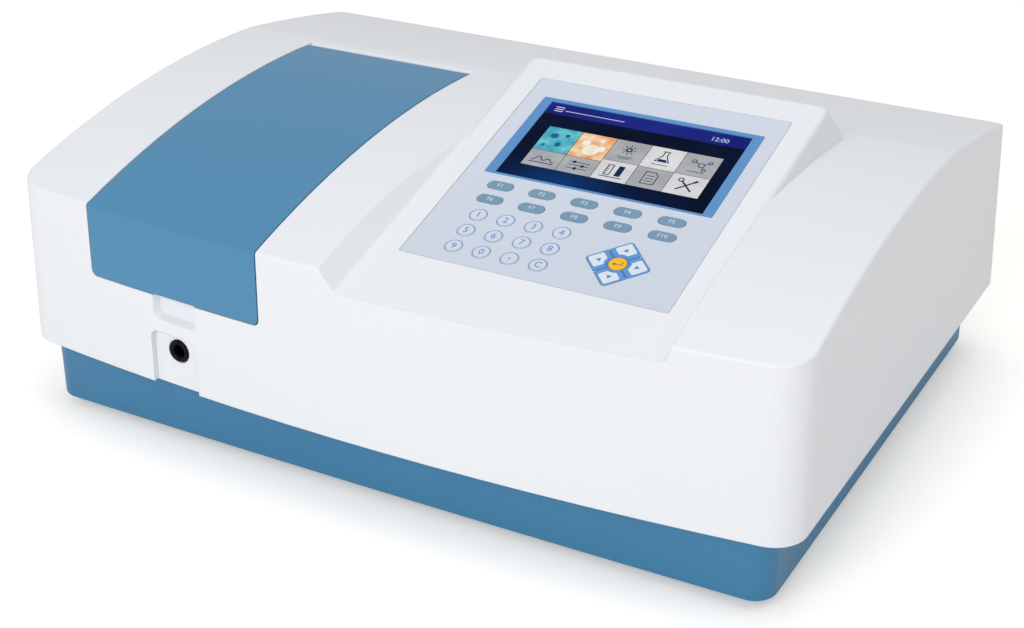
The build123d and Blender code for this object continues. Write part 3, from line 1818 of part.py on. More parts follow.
# Detector: a tube facing the left window, on a pedestal
detector_back_x = detector_x - detector_length / 2 - detector_overhang
with BuildPart() as detector:
    add(
        upright_box(
            detector_x - detector_length / 2,
            detector_x + detector_length / 2,
            beam_y - detector_width / 2,
            beam_y + detector_width / 2,
            floor_z,
            detector_low,
            3,
        )
    )
    with BuildSketch(Plane.YZ.offset(detector_back_x)):
        with Locations((beam_y, beam_z)):
            Circle(detector_diameter / 2)
            Rectangle(detector_neck, 2 * (beam_z - detector_low) + 2, mode=Mode.ADD)
    extrude(amount=mouth_left - tub_wall - window_thickness - slip - detector_back_x)
    with BuildSketch(Plane.YZ.offset(mouth_left - tub_wall - window_thickness - slip)):
        with Locations((beam_y, beam_z)):
            Circle(detector_bore / 2)
    extrude(amount=-10, mode=Mode.SUBTRACT)
save(detector.part, "detector")

# Main circuit board, upright along the rear wall, with its data sockets
board_back = main_board_front_y + board_thickness
socket_face_y = rear_y - socket_rise * math.sin(lean)
data_socket_depth = (socket_face_y - main_board_front_y) / math.cos(lean)
with BuildPart() as main_board:
    add(
        upright_box(
            main_board_left,
            main_board_right,
            main_board_front_y,
            board_back,
            main_board_low_z,
            main_board_low_z + main_board_height,
        )
    )
    for x, z, size_x, size_z, height in (
        (-240, 120, 34, 34, 4),
        (-180, 130, 26, 18, 5),
        (-120, 112, 44, 30, 14),
        (-40, 125, 20, 40, 9),
    ):
        with BuildSketch(Plane.XZ.offset(-main_board_front_y - 0.5)):
            with Locations((x, z)):
                Rectangle(size_x, size_z)
        extrude(amount=height + 0.5)
    for x in socket_x:
        with BuildSketch(rear_plane.offset(-data_socket_depth)) as shell:
            with Locations((-x, socket_rise)):
                Rectangle(data_socket_width, data_socket_height)
            fillet(shell.vertices(), data_socket_corner)
        extrude(amount=data_socket_depth + data_socket_proud)
save(main_board.part, "main_board")

# Power supply: a steel case with a slotted lid
with BuildPart() as power_supply:
    add(
        upright_box(
            supply_left,
            supply_right,
            supply_front_y,
            supply_rear_y,
            floor_z,
            floor_z + supply_height,
            2,
        )
    )
    with BuildSketch(Plane.XY.offset(floor_z + supply_height)):
        with Locations(((supply_left + supply_right) / 2, (supply_front_y + supply_rear_y) / 2)):
            with GridLocations(vent_pitch, 0, supply_slot_count, 1):
                SlotOverall(supply_slot_length, vent_width, rotation=90)
    extrude(amount=-3, mode=Mode.SUBTRACT)
save(power_supply.part, "power_supply")
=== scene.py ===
# %% [markdown]
# A bench spectrophotometer, dressed on its CAD frame.
# The frame brings every hard piece at its real place, so most of the work here is finish:
# moulded white plastic, satin blue paint, a printed keypad film and a lit screen.
# What the frame lacks is made here too: the print on the keys and the picture on the screen.

# %% Load the frame and keep its box
import math

import bmesh
import bpy
from mathutils import Matrix, Vector


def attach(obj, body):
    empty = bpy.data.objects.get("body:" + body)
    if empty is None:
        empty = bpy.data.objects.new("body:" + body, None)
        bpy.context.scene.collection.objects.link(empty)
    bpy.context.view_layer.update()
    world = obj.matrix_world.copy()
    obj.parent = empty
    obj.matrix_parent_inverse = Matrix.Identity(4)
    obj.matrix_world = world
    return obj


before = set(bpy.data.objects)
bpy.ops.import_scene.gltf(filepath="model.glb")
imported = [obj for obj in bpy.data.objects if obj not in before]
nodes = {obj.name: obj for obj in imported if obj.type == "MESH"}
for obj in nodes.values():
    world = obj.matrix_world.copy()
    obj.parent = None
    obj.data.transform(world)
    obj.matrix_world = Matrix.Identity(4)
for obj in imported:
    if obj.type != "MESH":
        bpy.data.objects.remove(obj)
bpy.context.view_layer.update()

# %% [markdown]
# The photograph was taken from the front right and a little above.
# The camera's place was worked out from the corners of the cover, the lid and the keypad,
# so the render and the photograph lie over each other.

# %% Camera
SENSOR_WIDTH, FOCAL_LENGTH = 36.0, 63.07
CAMERA_PLACE = Vector((0.6117, -1.1269, 0.6935))
CAMERA_AIM = Vector((0.0378, -0.0816, 0.1000))
camera_data = bpy.data.cameras.new("photo_camera")
camera_data.sensor_width = SENSOR_WIDTH
camera_data.lens = FOCAL_LENGTH
camera = bpy.data.objects.new("photo_camera", camera_data)
bpy.context.scene.collection.objects.link(camera)
camera.location = CAMERA_PLACE
camera.rotation_mode = "QUATERNION"
camera.rotation_quaternion = (CAMERA_AIM - CAMERA_PLACE).to_track_quat("-Z", "Y")
bpy.context.scene.camera = camera
bpy.context.scene.view_settings.view_transform = "Standard"
print("camera", tuple(camera.location), "lens", camera_data.lens)

# %% [markdown]
# Shader maths reads best as a formula. This small class wraps a socket so that
# a * b + 1 adds the Math nodes by itself. The second class adds every other node, to a
# material or to the world, by one method. The third holds one finish: its material,
# its main shader and the few steps that most finishes take.

# %% Sockets with arithmetic, and a finish


class Value:
    """A number, a colour or a shader on its way through a network of nodes."""

    def __init__(self, network, socket):
        self.network = network
        self.socket = socket

    def beside(self, output):
        """Another output of the node that this value comes from."""
        return Value(self.network, self.socket.node.outputs[output])

    def math(self, operation, first, second=0.0):
        """One Math node on two numbers."""
        return self.network.node("ShaderNodeMath", {"operation": operation}, [first, second])

    def __add__(self, other):
        return self.math("ADD", self, other)

    def __radd__(self, other):
        return self.math("ADD", other, self)

    def __sub__(self, other):
        return self.math("SUBTRACT", self, other)

    def __rsub__(self, other):
        return self.math("SUBTRACT", other, self)

    def __mul__(self, other):
        return self.math("MULTIPLY", self, other)

    def __rmul__(self, other):
        return self.math("MULTIPLY", other, self)

    def __lt__(self, other):
        return self.math("LESS_THAN", self, other)

    def __gt__(self, other):
        return self.math("GREATER_THAN", self, other)

    def __abs__(self):
        return self.math("ABSOLUTE", self)


class Network:
    """The nodes of a material or of the world, added one by one."""

    def __init__(self, owner):
        owner.use_nodes = True
        self.tree = owner.node_tree
        self.made = 0

    def node(self, kind, settings=None, inputs=(), output=0):
        """Adds a node: its settings first, then the values or links of its inputs."""
        node = self.tree.nodes.new(kind)
        node.location = (-260 - 190 * (self.made // 6), 260 - 170 * (self.made % 6))
        self.made += 1
        for key, value in (settings or {}).items():
            setattr(node, key, value)
        pairs = inputs.items() if isinstance(inputs, dict) else enumerate(inputs)
        for key, value in pairs:
            if isinstance(value, Value):
                self.tree.links.new(value.socket, node.inputs[key])
            else:
                node.inputs[key].default_value = value
        return Value(self, node.outputs[output])

    def show(self, shader, ending):
        """Sends a shader to the output of the material or of the world."""
        self.tree.links.new(shader.socket, self.tree.nodes[ending].inputs["Surface"])


class Finish(Network):
    """A material built round one Principled shader."""

    def __init__(self, name, **constants):
        self.material = bpy.data.materials.new(name)
        super().__init__(self.material)
        self.shader = self.tree.nodes["Principled BSDF"]
        for socket, value in constants.items():
            self.shader.inputs[socket.replace("_", " ")].default_value = value

    def feed(self, socket, value):
        """Links a varying value to one of the main shader's sockets."""
        self.tree.links.new(value.socket, self.shader.inputs[socket])

    def place(self):
        """The point on the piece, in metres, in the shared frame."""
        return self.node("ShaderNodeTexCoord", output="Object")

    def noise(self, scale, detail=2.0, vector=None):
        """Soft random values from 0 to 1, with scale features to the metre."""
        inputs = {"Vector": vector or self.place(), "Scale": scale, "Detail": detail}
        return self.node("ShaderNodeTexNoise", {"noise_dimensions": "3D"}, inputs)

    def mix(self, share, first, second):
        """A colour between two, by a share from 0 to 1."""
        settings = {"data_type": "RGBA", "clamp_factor": True}
        return self.node("ShaderNodeMix", settings, {0: share, 6: first, 7: second}, output=2)

    def bump(self, height, strength, distance, normal=None):
        """Small relief for the Normal socket."""
        inputs = {"Height": height, "Strength": strength, "Distance": distance}
        if normal:
            inputs["Normal"] = normal
        self.feed("Normal", self.node("ShaderNodeBump", {}, inputs))


def linear(red, green, blue):
    """A colour given from 0 to 255, as the linear numbers that shaders use."""
    shares = [c / 255 for c in (red, green, blue)]
    return tuple(s / 12.92 if s <= 0.04045 else ((s + 0.055) / 1.055) ** 2.4 for s in shares) + (1.0,)


def shade(colour, factor):
    """The same colour, lighter or darker."""
    return tuple(min(c * factor, 1.0) for c in colour[:3]) + (1.0,)


print("finish kit ready")

# %% [markdown]
# Moulded plastic and paint look flat until three small things vary: the colour by a
# percent or two, the roughness in slow patches, and a fine relief from the mould or the
# spray. An edge is painted a touch lighter: partly the rub of hands, partly a painted
# highlight along the creases, strongest on the lid. The Bevel node gives the rounded
# normal, and where it turns away from the true normal there is an edge.

# %% Finishes that most pieces share
PATCH_SCALE = 9.0
EDGE_RADIUS, EDGE_GAIN = 0.0009, 40.0


def moulded(name, colour, roughness, grain=2600.0, relief=0.06, wear_and_highlight=0.04, spread=0.03, **constants):
    """Plastic, paint or cast metal with fine grain, slow patches, and softened edges painted lighter
    as wear and as a painted highlight.
    """
    finish = Finish(name, **constants)
    point = finish.place()
    patches = finish.noise(PATCH_SCALE, 3.0, point)
    fine = finish.noise(grain, 2.0, point)
    rounded = finish.node("ShaderNodeBevel", {"samples": 4}, {"Radius": EDGE_RADIUS})
    true_normal = finish.node("ShaderNodeNewGeometry", output="Normal")
    compare = {"operation": "DOT_PRODUCT"}
    alike = finish.node("ShaderNodeVectorMath", compare, [rounded, true_normal], "Value")
    base = finish.mix(patches, shade(colour, 1 - spread), shade(colour, 1 + spread))
    # Lighter edges: partly wear, partly a painted highlight.
    edge = (1.0 - alike) * (EDGE_GAIN * wear_and_highlight)
    finish.feed("Base Color", finish.mix(edge, base, shade(colour, 1 + 6 * wear_and_highlight)))
    finish.feed("Roughness", patches * 0.10 + fine * 0.05 + (roughness - 0.08))
    finish.bump(fine, relief, 0.0004, rounded)
    return finish.material


def brushed(name, colour, roughness, along=(1.0, 60.0, 60.0)):
    """Bare metal with brush lines along X."""
    finish = Finish(name, Metallic=1.0)
    lines = finish.node("ShaderNodeMapping", {}, {"Vector": finish.place(), "Scale": along})
    streaks = finish.noise(60.0, 4.0, lines)
    stains = finish.noise(25.0, 3.0)
    finish.feed("Base Color", finish.mix(stains, shade(colour, 0.93), shade(colour, 1.05)))
    finish.feed("Roughness", streaks * 0.18 + stains * 0.06 + (roughness - 0.12))
    finish.bump(streaks, 0.12, 0.0003)
    return finish.material


def part_metal(name, colour, roughness, metal, limits):
    """A piece of one finish whose stretch inside a box, in metres, is bare metal."""
    finish = Finish(name)
    point = finish.place()
    patches = finish.noise(30.0, 3.0, point)
    inside = 1.0
    for axis, (low, high) in limits.items():
        place = finish.node("ShaderNodeSeparateXYZ", {}, [point], axis)
        inside = inside * (place > low) * (place < high)
    plain = finish.mix(patches, shade(colour, 0.94), shade(colour, 1.06))
    bare = finish.mix(patches, shade(metal, 0.9), metal)
    finish.feed("Base Color", finish.mix(inside, plain, bare))
    finish.feed("Metallic", inside * (0.95 + patches * 0.05))
    finish.feed("Roughness", patches * 0.1 + (roughness - 0.05))
    finish.bump(finish.noise(2200.0, 2.0, point), 0.04, 0.0003)
    return finish.material


shell_white = moulded("shell_white", linear(232, 235, 240), 0.42, spread=0.008, wear_and_highlight=0.004)
# The lid's edges are painted much lighter, as a painted highlight along its front crease.
lid_blue = moulded("lid_blue", linear(66, 133, 175), 0.38, spread=0.02, wear_and_highlight=0.10, Coat_Weight=0.12)
base_blue = moulded("base_blue", linear(51, 121, 162), 0.42, spread=0.03, Coat_Weight=0.08)
black_moulding = moulded("black_moulding", linear(30, 30, 32), 0.55)
black_metal = moulded("black_metal", linear(34, 34, 37), 0.42, Metallic=0.6)
gloss_black = moulded(
    "gloss_black", linear(10, 12, 16), 0.22, relief=0.01, wear_and_highlight=0.0, Specular_IOR_Level=0.12
)
foam = moulded("foam", linear(34, 34, 36), 0.95, grain=900.0, relief=0.5)
rubber = moulded("rubber", linear(38, 38, 40), 0.8, grain=1500.0, relief=0.2)
panel_paint = moulded("panel_paint", linear(205, 208, 214), 0.5, grain=1200.0, relief=0.15)
board_green = moulded("board_green", linear(25, 90, 48), 0.35, relief=0.03)
cast_alloy = moulded("cast_alloy", linear(120, 121, 124), 0.6, grain=900.0, relief=0.3, Metallic=0.8)
steel = brushed("steel", linear(190, 192, 196), 0.32)
steel_case = brushed("steel_case", linear(185, 188, 192), 0.4)
SOCKETS = {"Y": (0.2095, 0.26)}
main_board = part_metal("main_board", linear(25, 90, 48), 0.35, linear(196, 198, 202), SOCKETS)
PINS = {"X": (0.2234, 0.2406), "Z": (0.1005, 0.1120), "Y": (0.2190, 0.2345)}
inlet_black = part_metal("inlet_black", linear(30, 30, 32), 0.5, linear(212, 180, 110), PINS)
bright_alloy = brushed("bright_alloy", linear(215, 216, 220), 0.3)
front_mirror = brushed("front_mirror", linear(240, 240, 242), 0.12)
print("finishes", len(bpy.data.materials))

# %% [markdown]
# Fused quartz for the beam windows and the lamp bulbs is clear, with the faintest
# ripple, so light goes through and a little comes back off the face.

# %% Quartz
quartz_finish = Finish("quartz", Transmission_Weight=1.0, IOR=1.46)
ripple = quartz_finish.noise(60.0, 2.0)
quartz_finish.feed("Base Color", quartz_finish.mix(ripple, (0.93, 0.96, 0.97, 1), (1, 1, 1, 1)))
quartz_finish.feed("Roughness", ripple * 0.04 + 0.01)
quartz_finish.bump(ripple, 0.02, 0.0003)
quartz = quartz_finish.material
print("quartz", quartz.name)

# %% [markdown]
# The keypad is a printed polyester film with a fine texture. A painted sheen makes its grey
# blue a little lighter towards the top left, by a slow gradient along the console's slope.
# The console lies on its own tilted plane, so a helper turns a place on it (u across,
# v up the slope, n out of it, in millimetres) into the shared frame.

# %% The console's plane
DECK_TILT = math.radians(16.25)
DECK_ORIGIN = Vector((0.0, -0.2307, 0.1717))
DECK_ACROSS = Vector((1.0, 0.0, 0.0))
DECK_UP = Vector((0.0, math.cos(DECK_TILT), math.sin(DECK_TILT)))


def plane_matrix(origin, across, up):
    """The matrix of a tilted plane, from its origin and the two directions along it."""
    turned = Matrix((across, up, across.cross(up))).transposed()
    return Matrix.Translation(origin) @ turned.to_4x4()


DECK_MATRIX = plane_matrix(DECK_ORIGIN, DECK_ACROSS, DECK_UP)


def deck_place(finish, u, v):
    """Object coordinates turned so that X and Y run along the console from (u, v), in metres."""
    inputs = {
        "Vector": finish.place(),
        "Location": DECK_MATRIX @ Vector((u / 1000, v / 1000, 0)),
        "Rotation": (DECK_TILT, 0, 0),
    }
    return finish.node("ShaderNodeMapping", {"vector_type": "TEXTURE"}, inputs)


def split_place(finish, point):
    """The X and Y of a place as two numbers."""
    across = finish.node("ShaderNodeSeparateXYZ", {}, [point], "X")
    return across, across.beside("Y")


print("deck", tuple(DECK_MATRIX @ Vector((0, 0, 0))))

# %% [markdown]
# One printed finish makes the film, the keys and the ink on them, each in its own colour.
# The film also carries the blue square, standing on its corner, behind the arrow keys.

# %% Printed film and key finishes
SHEEN_U, SHEEN_V = 5, 49
PAD_U, PAD_V = 155.2, 83.7
PAD_REACH = 22.4


def printed(name, colour, roughness=0.36, lighter=0.06, grain=3800.0, pad=None, **constants):
    """Printed film: fine texture, a painted sheen that lightens it towards the top left, and a pad of
    another colour.
    """
    finish = Finish(name, **constants)
    across, up = split_place(finish, deck_place(finish, SHEEN_U, SHEEN_V))
    fine = finish.noise(grain, 1.0)
    # Painted sheen: lighter up the slope and towards the left, dimmed a touch by the grain.
    painted_sheen = (up * 3.0 - across * 1.2 + 0.4) * (1.0 - 0.05 * fine)
    film = finish.mix(painted_sheen, shade(colour, 1 - lighter / 2), shade(colour, 1 + lighter))
    if pad:
        pad_across, pad_up = split_place(finish, deck_place(finish, PAD_U, PAD_V))
        film = finish.mix(abs(pad_across) + abs(pad_up) < PAD_REACH / 1000, film, pad)
    finish.feed("Base Color", film)
    finish.feed("Roughness", fine * 0.08 + roughness)
    finish.bump(fine, 0.05, 0.0002)
    return finish.material


overlay_film = printed("overlay_film", linear(202, 211, 224), lighter=0.07, pad=linear(84, 146, 208))
bezel_film = printed("bezel_film", linear(80, 138, 196), 0.3)
f_key_film = printed("f_key_film", linear(112, 147, 173))
round_key_film = printed("round_key_film", linear(204, 213, 226), lighter=0.10)
arrow_key_film = printed("arrow_key_film", linear(84, 146, 208))
enter_film = printed("enter_film", linear(250, 188, 2), 0.32, Specular_IOR_Level=0.2)
ink_blue = printed("ink_blue", linear(72, 134, 204), 0.4)
ink_field = printed("ink_field", linear(217, 225, 235), 0.4)
ink_pale = printed("ink_pale", linear(205, 219, 228), 0.4)
ink_slate = printed("ink_slate", linear(96, 110, 130), 0.4)
print("films ready")

# %% [markdown]
# The screen is lit from behind, so its colours come from emission and not from the lamps.
# A thin clear face over it keeps a little gloss. The picture is dark navy with a soft
# glow low at the left, and everything drawn on it is a thin lit shape of its own.

# %% Lit finishes
GLASS_DARK, GLASS_LIGHTER = (0.0006, 0.0007, 0.0010, 1), (0.0010, 0.0012, 0.0018, 1)
GLOW_U, GLOW_V = 78, 151
GLOW_FALL_ACROSS, GLOW_FALL_UP = 700.0, 2600.0


def lit(name, colour, strength=1.0, second=None, scale=40.0, detail=2.0):
    """A lit area of the screen, plain or with a soft mottled second colour."""
    finish = Finish(name, Specular_IOR_Level=0.02, Emission_Strength=strength)
    cloud = finish.noise(scale, detail)
    mottle = cloud * 2.4 - 0.7
    finish.feed("Emission Color", finish.mix(mottle, colour, second or shade(colour, 0.9)))
    finish.feed("Base Color", finish.mix(cloud, GLASS_DARK, GLASS_LIGHTER))
    finish.feed("Roughness", cloud * 0.04 + 0.10)
    return finish.material


screen_finish = Finish("screen_glass", Emission_Strength=1.0, Specular_IOR_Level=0.02)
glow_across, glow_up = split_place(screen_finish, deck_place(screen_finish, GLOW_U, GLOW_V))
glow_cloud = screen_finish.noise(26.0, 3.0)
glow_far = glow_across * glow_across * GLOW_FALL_ACROSS + glow_up * glow_up * GLOW_FALL_UP
glow_fade = glow_far.math("POWER", 2.72, 0.0 - glow_far)
glow = glow_fade * (0.55 + glow_cloud * 0.9)
night = screen_finish.mix(glow_cloud * 2.2 - 0.6, linear(1, 6, 22), linear(2, 18, 52))
screen_finish.feed("Emission Color", screen_finish.mix(glow, night, linear(5, 52, 112)))
screen_finish.feed("Base Color", screen_finish.mix(glow_cloud, GLASS_DARK, GLASS_LIGHTER))
screen_finish.feed("Roughness", glow_cloud * 0.04 + 0.08)
screen_glass = screen_finish.material

lit_title = lit("lit_title", linear(20, 28, 112), 1.0, linear(28, 40, 132), 30.0)
lit_grey = lit("lit_grey", linear(176, 178, 181), 1.0, linear(160, 162, 166), 60.0)
lit_pale = lit("lit_pale", linear(222, 222, 222), 1.0, linear(205, 206, 208), 60.0)
lit_navy = lit("lit_navy", linear(22, 40, 84))
lit_line = lit("lit_line", linear(196, 206, 228))
lit_teal = lit("lit_teal", linear(44, 150, 176), 1.0, linear(120, 206, 214), 120.0, 3.0)
lit_amber = lit("lit_amber", linear(228, 140, 40), 1.0, linear(246, 224, 190), 120.0, 3.0)
lit_cream = lit("lit_cream", linear(248, 244, 236), 1.0, linear(232, 224, 206), 90.0)
lit_deep = lit("lit_deep", linear(12, 84, 118), 1.0, linear(30, 120, 150), 150.0)
print("lit finishes ready")

# %% [markdown]
# Each CAD node takes the finish of the real piece. The mesh is right as it is, so only
# the material in its slot changes.

# %% Finishes on the CAD nodes
NODE_FINISHES = {
    "top_cover": shell_white,
    "compartment_lid": lid_blue,
    "base_pan": base_blue,
    "lid_liner": black_moulding,
    "lid_seal": foam,
    "hinge_brackets": steel,
    "lid_hinge_pins": steel,
    "sample_compartment": black_moulding,
    "beam_windows": quartz,
    "carriage_rails": steel,
    "cell_carriage": black_metal,
    "rod_bush": gloss_black,
    "display_module": screen_glass,
    "display_bezel": bezel_film,
    "keypad_overlay": overlay_film,
    "keypad_board": board_green,
    "feet": rubber,
    "screws": steel,
    "rear_panel": panel_paint,
    "mains_inlet": inlet_black,
    "power_rocker": gloss_black,
    "fan_frame": black_moulding,
    "fan_rotor": black_moulding,
    "optical_bench": cast_alloy,
    "monochromator": black_metal,
    "grating_stage": bright_alloy,
    "filter_wheel": black_metal,
    "lamp_house": steel_case,
    "lamps": quartz,
    "source_mirror": front_mirror,
    "detector": bright_alloy,
    "main_board": main_board,
    "power_supply": steel_case,
    "key_enter": enter_film,
}
F_KEYS = [f"key_f{number}" for number in range(1, 11)]
SIGN_KEYS = ["1", "2", "3", "4", "5", "6", "7", "8", "9", "0", "point", "clear"]
ARROWS = {"right": 0, "up": 90, "left": 180, "down": 270}
for name in F_KEYS:
    NODE_FINISHES[name] = f_key_film
for sign in SIGN_KEYS:
    NODE_FINISHES[f"key_{sign}"] = round_key_film
for sign in ARROWS:
    NODE_FINISHES[f"key_{sign}"] = arrow_key_film
for name, node in nodes.items():
    node.data.materials.clear()
    node.data.materials.append(NODE_FINISHES[name])
print("dressed", len(NODE_FINISHES), "of", len(nodes))

# %% [markdown]
# Print is ink a few hundredths of a millimetre thick. Each sign is drawn flat about its
# own middle, given that thickness, and laid on the console's plane at its key.

# %% Helpers for flat print
INK = 0.06
INK_STEP = 0.04
HOUSING = "housing"


def deselect():
    """Nothing selected and no edit mode, so that the next operator acts on its own piece."""
    if bpy.context.object and bpy.context.object.mode != "OBJECT":
        bpy.ops.object.mode_set(mode="OBJECT")
    bpy.ops.object.select_all(action="DESELECT")


def settle(piece):
    """Puts an object's place into its mesh."""
    deselect()
    piece.select_set(True)
    bpy.context.view_layer.objects.active = piece
    bpy.ops.object.transform_apply(location=True, rotation=True, scale=True)


def join(pieces, name):
    """Joins pieces into one, under a new name."""
    deselect()
    for piece in pieces:
        piece.select_set(True)
    bpy.context.view_layer.objects.active = pieces[0]
    if len(pieces) > 1:
        bpy.ops.object.join()
    pieces[0].name = name
    pieces[0].data.name = name
    return pieces[0]


def select_corners(piece, wanted):
    """In edit mode, selects the vertices whose x and y pass a test, and no others."""
    bpy.ops.mesh.select_all(action="DESELECT")
    for vertex in bmesh.from_edit_mesh(piece.data).verts:
        vertex.select = wanted(vertex.co.x, vertex.co.y)


def extrude_up(piece, height):
    """Gives a flat face its thickness, upwards in the piece's own Z, in millimetres."""
    deselect()
    bpy.context.view_layer.objects.active = piece
    piece.select_set(True)
    bpy.ops.object.mode_set(mode="EDIT")
    bpy.ops.mesh.select_all(action="SELECT")
    bpy.ops.mesh.extrude_region_move(TRANSFORM_OT_translate={"value": (0, 0, height)})
    bpy.ops.mesh.select_all(action="SELECT")
    bpy.ops.mesh.normals_make_consistent(inside=False)
    bpy.ops.object.mode_set(mode="OBJECT")


def tile(width, height, x=0.0, y=0.0, corner=0.0, steps=5, thick=INK, turn=0.0):
    """A flat rounded rectangle in millimetres, its corners cut by a bevel of its vertices."""
    deselect()
    bpy.ops.mesh.primitive_plane_add(size=1)
    piece = bpy.context.object
    piece.scale = (width, height, 1)
    settle(piece)
    if corner:
        bpy.ops.object.mode_set(mode="EDIT")
        bpy.ops.mesh.select_all(action="SELECT")
        bpy.ops.mesh.bevel(offset=corner, segments=steps, affect="VERTICES")
        bpy.ops.object.mode_set(mode="OBJECT")
    extrude_up(piece, thick)
    piece.rotation_euler = (0, 0, math.radians(turn))
    piece.location = (x, y, 0)
    settle(piece)
    return piece


def disc(radius, x=0.0, y=0.0, sides=40, thick=INK, turn=0.0):
    """A flat disc, or with three sides a triangle, in millimetres."""
    deselect()
    bpy.ops.mesh.primitive_circle_add(vertices=sides, radius=radius, fill_type="NGON")
    piece = bpy.context.object
    extrude_up(piece, thick)
    piece.rotation_euler = (0, 0, math.radians(turn))
    piece.location = (x, y, 0)
    settle(piece)
    return piece


def ring(radius, band, x=0.0, y=0.0, sides=48, thick=INK):
    """A flat ring: a disc whose face is inset, and the middle taken out."""
    deselect()
    bpy.ops.mesh.primitive_circle_add(vertices=sides, radius=radius, fill_type="NGON")
    piece = bpy.context.object
    bpy.ops.object.mode_set(mode="EDIT")
    bpy.ops.mesh.select_all(action="SELECT")
    bpy.ops.mesh.inset(thickness=band)
    bpy.ops.mesh.delete(type="FACE")
    bpy.ops.object.mode_set(mode="OBJECT")
    extrude_up(piece, thick)
    piece.location = (x, y, 0)
    settle(piece)
    return piece


def sign(text, size, x=0.0, y=0.0, thick=INK, turn=0.0):
    """Plain figures or signs, turned into a mesh, centred on a place, in millimetres."""
    deselect()
    bpy.ops.object.text_add()
    piece = bpy.context.object
    piece.data.body = text
    piece.data.size = size
    piece.data.align_x = "CENTER"
    piece.data.align_y = "CENTER"
    piece.data.resolution_u = 3
    piece.data.extrude = thick / 2
    bpy.ops.object.convert(target="MESH")
    piece = bpy.context.object
    piece.rotation_euler = (0, 0, math.radians(turn))
    piece.location = (x, y, thick / 2)
    settle(piece)
    return piece


def stroke(points, width, thick=INK):
    """A bent line of even width through points, in millimetres, as overlapping round bars."""
    bars = []
    corner = width * 0.35
    for (x0, y0), (x1, y1) in zip(points, points[1:]):
        length = math.hypot(x1 - x0, y1 - y0) + width * 0.7
        angle = math.degrees(math.atan2(y1 - y0, x1 - x0))
        middle = (x0 + x1) / 2, (y0 + y1) / 2
        bars.append(tile(length, width, *middle, corner, 2, thick, angle))
    return bars


def paint(piece, finish):
    """Gives a piece one finish and no other."""
    piece.data.materials.clear()
    piece.data.materials.append(finish)


def lay_on(plane, pieces, name, place, finish, body):
    """Joins flat pieces drawn in millimetres and lays them on a plane at (u, v, n)."""
    piece = join(pieces, name)
    piece.matrix_world = plane @ Matrix.Scale(0.001, 4) @ Matrix.Translation(Vector(place))
    settle(piece)
    if finish:
        paint(piece, finish)
    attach(piece, body)
    return piece


def lay_on_deck(pieces, name, u, v, n, finish, body):
    """Lays flat pieces on the console."""
    return lay_on(DECK_MATRIX, pieces, name, (u, v, n), finish, body)


def inked(piece, finish, height=0.0):
    """Gives one flat shape its ink before it is joined to others, and lifts it a little."""
    paint(piece, finish)
    piece.location = (0, 0, height)
    settle(piece)
    return piece


print("print helpers ready")

# %% [markdown]
# The figures on the keys. A film key is pressed with its print, so each sign rides on
# its key's own body. Round keys have a thin ring with a figure, a dot or a C in it, and
# the long ones a pale F number.

# %% Print on the long and round keys
KEY_TOP = 0.15
F_FIGURE, ROUND_FIGURE, POINT_RADIUS = 5.2, 8.0, 0.75
RING_RADIUS, RING_BAND = 6.15, 0.42
F_FIRST_U, F_PITCH_U, F_ROWS_V = 38.9, 33.1, (135.7, 119.6)
ROUND_FIRST_U, ROUND_PITCH_U, ROUND_ROWS_V = 39.6, 21.7, (101.3, 83.4, 65.6)
for index, name in enumerate(F_KEYS):
    u = F_FIRST_U + (index % 5) * F_PITCH_U
    v = F_ROWS_V[index // 5]
    figure = sign(f"F{index + 1}", F_FIGURE)
    lay_on_deck([figure], f"print_{name}", u, v, KEY_TOP, ink_pale, name)

FIGURES = {"clear": "C"}
for index, key in enumerate(SIGN_KEYS):
    u = ROUND_FIRST_U + (index % 4) * ROUND_PITCH_U
    v = ROUND_ROWS_V[index // 4]
    if key == "point":
        figure = disc(POINT_RADIUS)
    else:
        figure = sign(FIGURES.get(key, key), ROUND_FIGURE)
    flat = [ring(RING_RADIUS, RING_BAND), figure]
    lay_on_deck(flat, f"print_key_{key}", u, v, KEY_TOP, ink_blue, f"key_{key}")
print("signs on", len(F_KEYS) + len(SIGN_KEYS), "keys")

# %% [markdown]
# The arrow keys are the quarters of a square that stands on its corner. Each has a pale
# field, cut off at the inner corner where the round key sits, with a small triangle that
# points outwards. The blue between the fields is the colour of the key film itself.

# %% Print on the arrow keys and the round key in their middle
FIELD_SIDE, FIELD_REACH = 11.6, 13.9
FIELD_HOLLOW, FIELD_CORNER = 4.6, 1.4
ARROW_RADIUS, RETURN_RADIUS = 2.3, 1.7
for key, angle in ARROWS.items():
    turn = math.radians(angle)
    reach = FIELD_REACH * math.cos(turn), FIELD_REACH * math.sin(turn)
    deselect()
    bpy.ops.mesh.primitive_plane_add(size=1)
    field = bpy.context.object
    field.scale = (FIELD_SIDE, FIELD_SIDE, 1)
    settle(field)
    bpy.ops.object.mode_set(mode="EDIT")
    select_corners(field, lambda x, y: x < 0 and y < 0)
    bpy.ops.mesh.bevel(offset=FIELD_HOLLOW, segments=4, profile=0.16, affect="VERTICES")
    select_corners(field, lambda x, y: abs(abs(x) - abs(y)) < 0.01 and x + y > -1)
    bpy.ops.mesh.bevel(offset=FIELD_CORNER, segments=4, affect="VERTICES")
    bpy.ops.object.mode_set(mode="OBJECT")
    extrude_up(field, INK)
    field.rotation_euler = (0, 0, turn - math.radians(45))
    field.location = (*reach, 0)
    settle(field)
    arrow = disc(ARROW_RADIUS, *reach, 3, INK, angle - 90)
    flat = [inked(field, ink_field), inked(arrow, ink_blue, INK_STEP)]
    lay_on_deck(flat, f"print_key_{key}", PAD_U, PAD_V, KEY_TOP, None, f"key_{key}")

